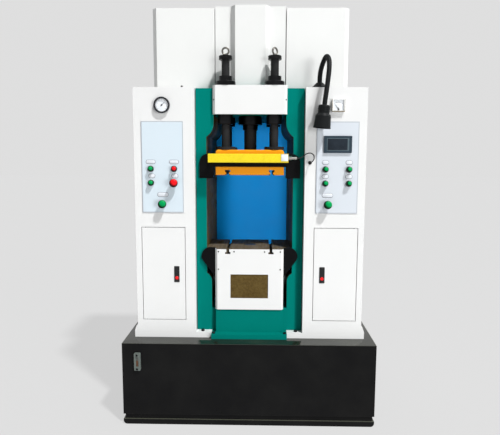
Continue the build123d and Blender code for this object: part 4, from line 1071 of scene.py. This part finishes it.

# %% [markdown]
# The pump and the switchgear in the cabinets need air, so the outer sides have louvres pressed into the
# sheet. They are a guess, because the photograph shows only the front. Each is a hood that is round above
# and at its ends, with its mouth facing down. Cutting the sheet would change the solid, so a box whose
# upper three edges are bevelled almost to nothing gives that form, and a dark strip of painted shade
# stands for the dark slot under each hood.

# %% Side louvres
louvre_width, louvre_rise, louvre_lift = 0.150, 0.011, 0.006
louvre_pitch, louvre_rows, louvre_feet, louvre_y = 0.021, 8, (0.560, 1.390), 0.120
shade_strip_size = (louvre_width * 0.9, 0.0016, 0.0028)
shade_strip_drop = louvre_rise / 2 + 0.0006
cabinet_side = 0.555


def outward(side, z):
    """Place on a cabinet's outer side; local Y is up and local Z points away from the press."""
    turn = Matrix(((0, 0, side), (side, 0, 0), (0, 1, 0))).to_4x4()
    return Matrix.Translation((side * cabinet_side, louvre_y, z)) @ turn


def hood(bm, place):
    """Pressed hood with a round back and ends."""
    shape = box((louvre_width, louvre_rise, louvre_lift))
    top = [e for e in shape.edges if all(v.co.z > louvre_lift * 0.9 for v in e.verts)]
    mouth = [e for e in top if all(v.co.y < 0 for v in e.verts)]
    soften(shape, [e for e in top if e not in mouth], louvre_lift * 0.92, 5)
    put(bm, shape, place)


hoods, slots = bmesh.new(), bmesh.new()
for side in (-1, 1):
    for foot in louvre_feet:
        for step in range(louvre_rows):
            z = foot + step * louvre_pitch
            hood(hoods, outward(side, z))
            # Under each hood a dark strip of painted shade stands for the slot.
            slab(slots, shade_strip_size, outward(side, z - shade_strip_drop), 0.0003)
piece("louvre_hoods", hoods, "white_paint")
piece("louvre_slot_shades", slots, "case_black")

# %% [markdown]
# The tank's deck is glossy enough to mirror the feet of the press, which the sprayed sides are not. The deck
# could be a solid of its own, but a sheet as thin as a coat of lacquer, laid on it, carries that gloss and
# leaves the tank whole.

# %% Deck lacquer
tank_low, tank_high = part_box("base_tank")
lacquer_thickness, lacquer_margin = 0.0003, 0.002


def lacquer():
    """Deep black with a wet gloss and a little dust."""
    finish, tree, shader = blank_finish("deck_lacquer", 0.95)
    dust = ramp(tree, noise(tree, 7.0, 5), 0.45, 0.8)
    colour = mix(tree, dust, (0.010, 0.011, 0.007), (0.022, 0.024, 0.016))
    feed(tree, shader, Base_Color=colour, Roughness=cloud(tree, 9.0, 0.06, 0.14, 4))
    return finish


finishes["deck_lacquer"] = lacquer()
deck_width = tank_high.x - tank_low.x - 2 * lacquer_margin
deck_depth = tank_high.y - tank_low.y - 2 * lacquer_margin
deck_place = Matrix.Translation((0, (tank_low.y + tank_high.y) / 2, tank_high.z))
bm = bmesh.new()
slab(bm, (deck_width, deck_depth, lacquer_thickness), deck_place, 0.0001)
piece("deck_lacquer", bm, "deck_lacquer")

# %% [markdown]
# Two small fittings are left: the grommet where the cable enters the cabinet, and a knob on the left
# cabinet's top. Both are turned, so both are spun profiles, and they share one piece.

# %% Small fittings
grommet = [(0.0026, 0.0045), (0.0062, 0.0045), (0.0085, 0.0028), (0.0085, 0)]
knob = [(0, 0.0120), (0.0040, 0.0114), (0.0056, 0.0090), (0.0056, 0.0052), (0.0032, 0.0040), (0.0032, 0)]
grommet_place, knob_place = front(0.288, -0.315, 1.279), Matrix.Translation((-0.326, -0.280, 1.632))
bm = bmesh.new()
spun(bm, grommet, grommet_place, 20)
spun(bm, knob, knob_place, 20)
piece("grommet_and_knob", bm, "cable_black")
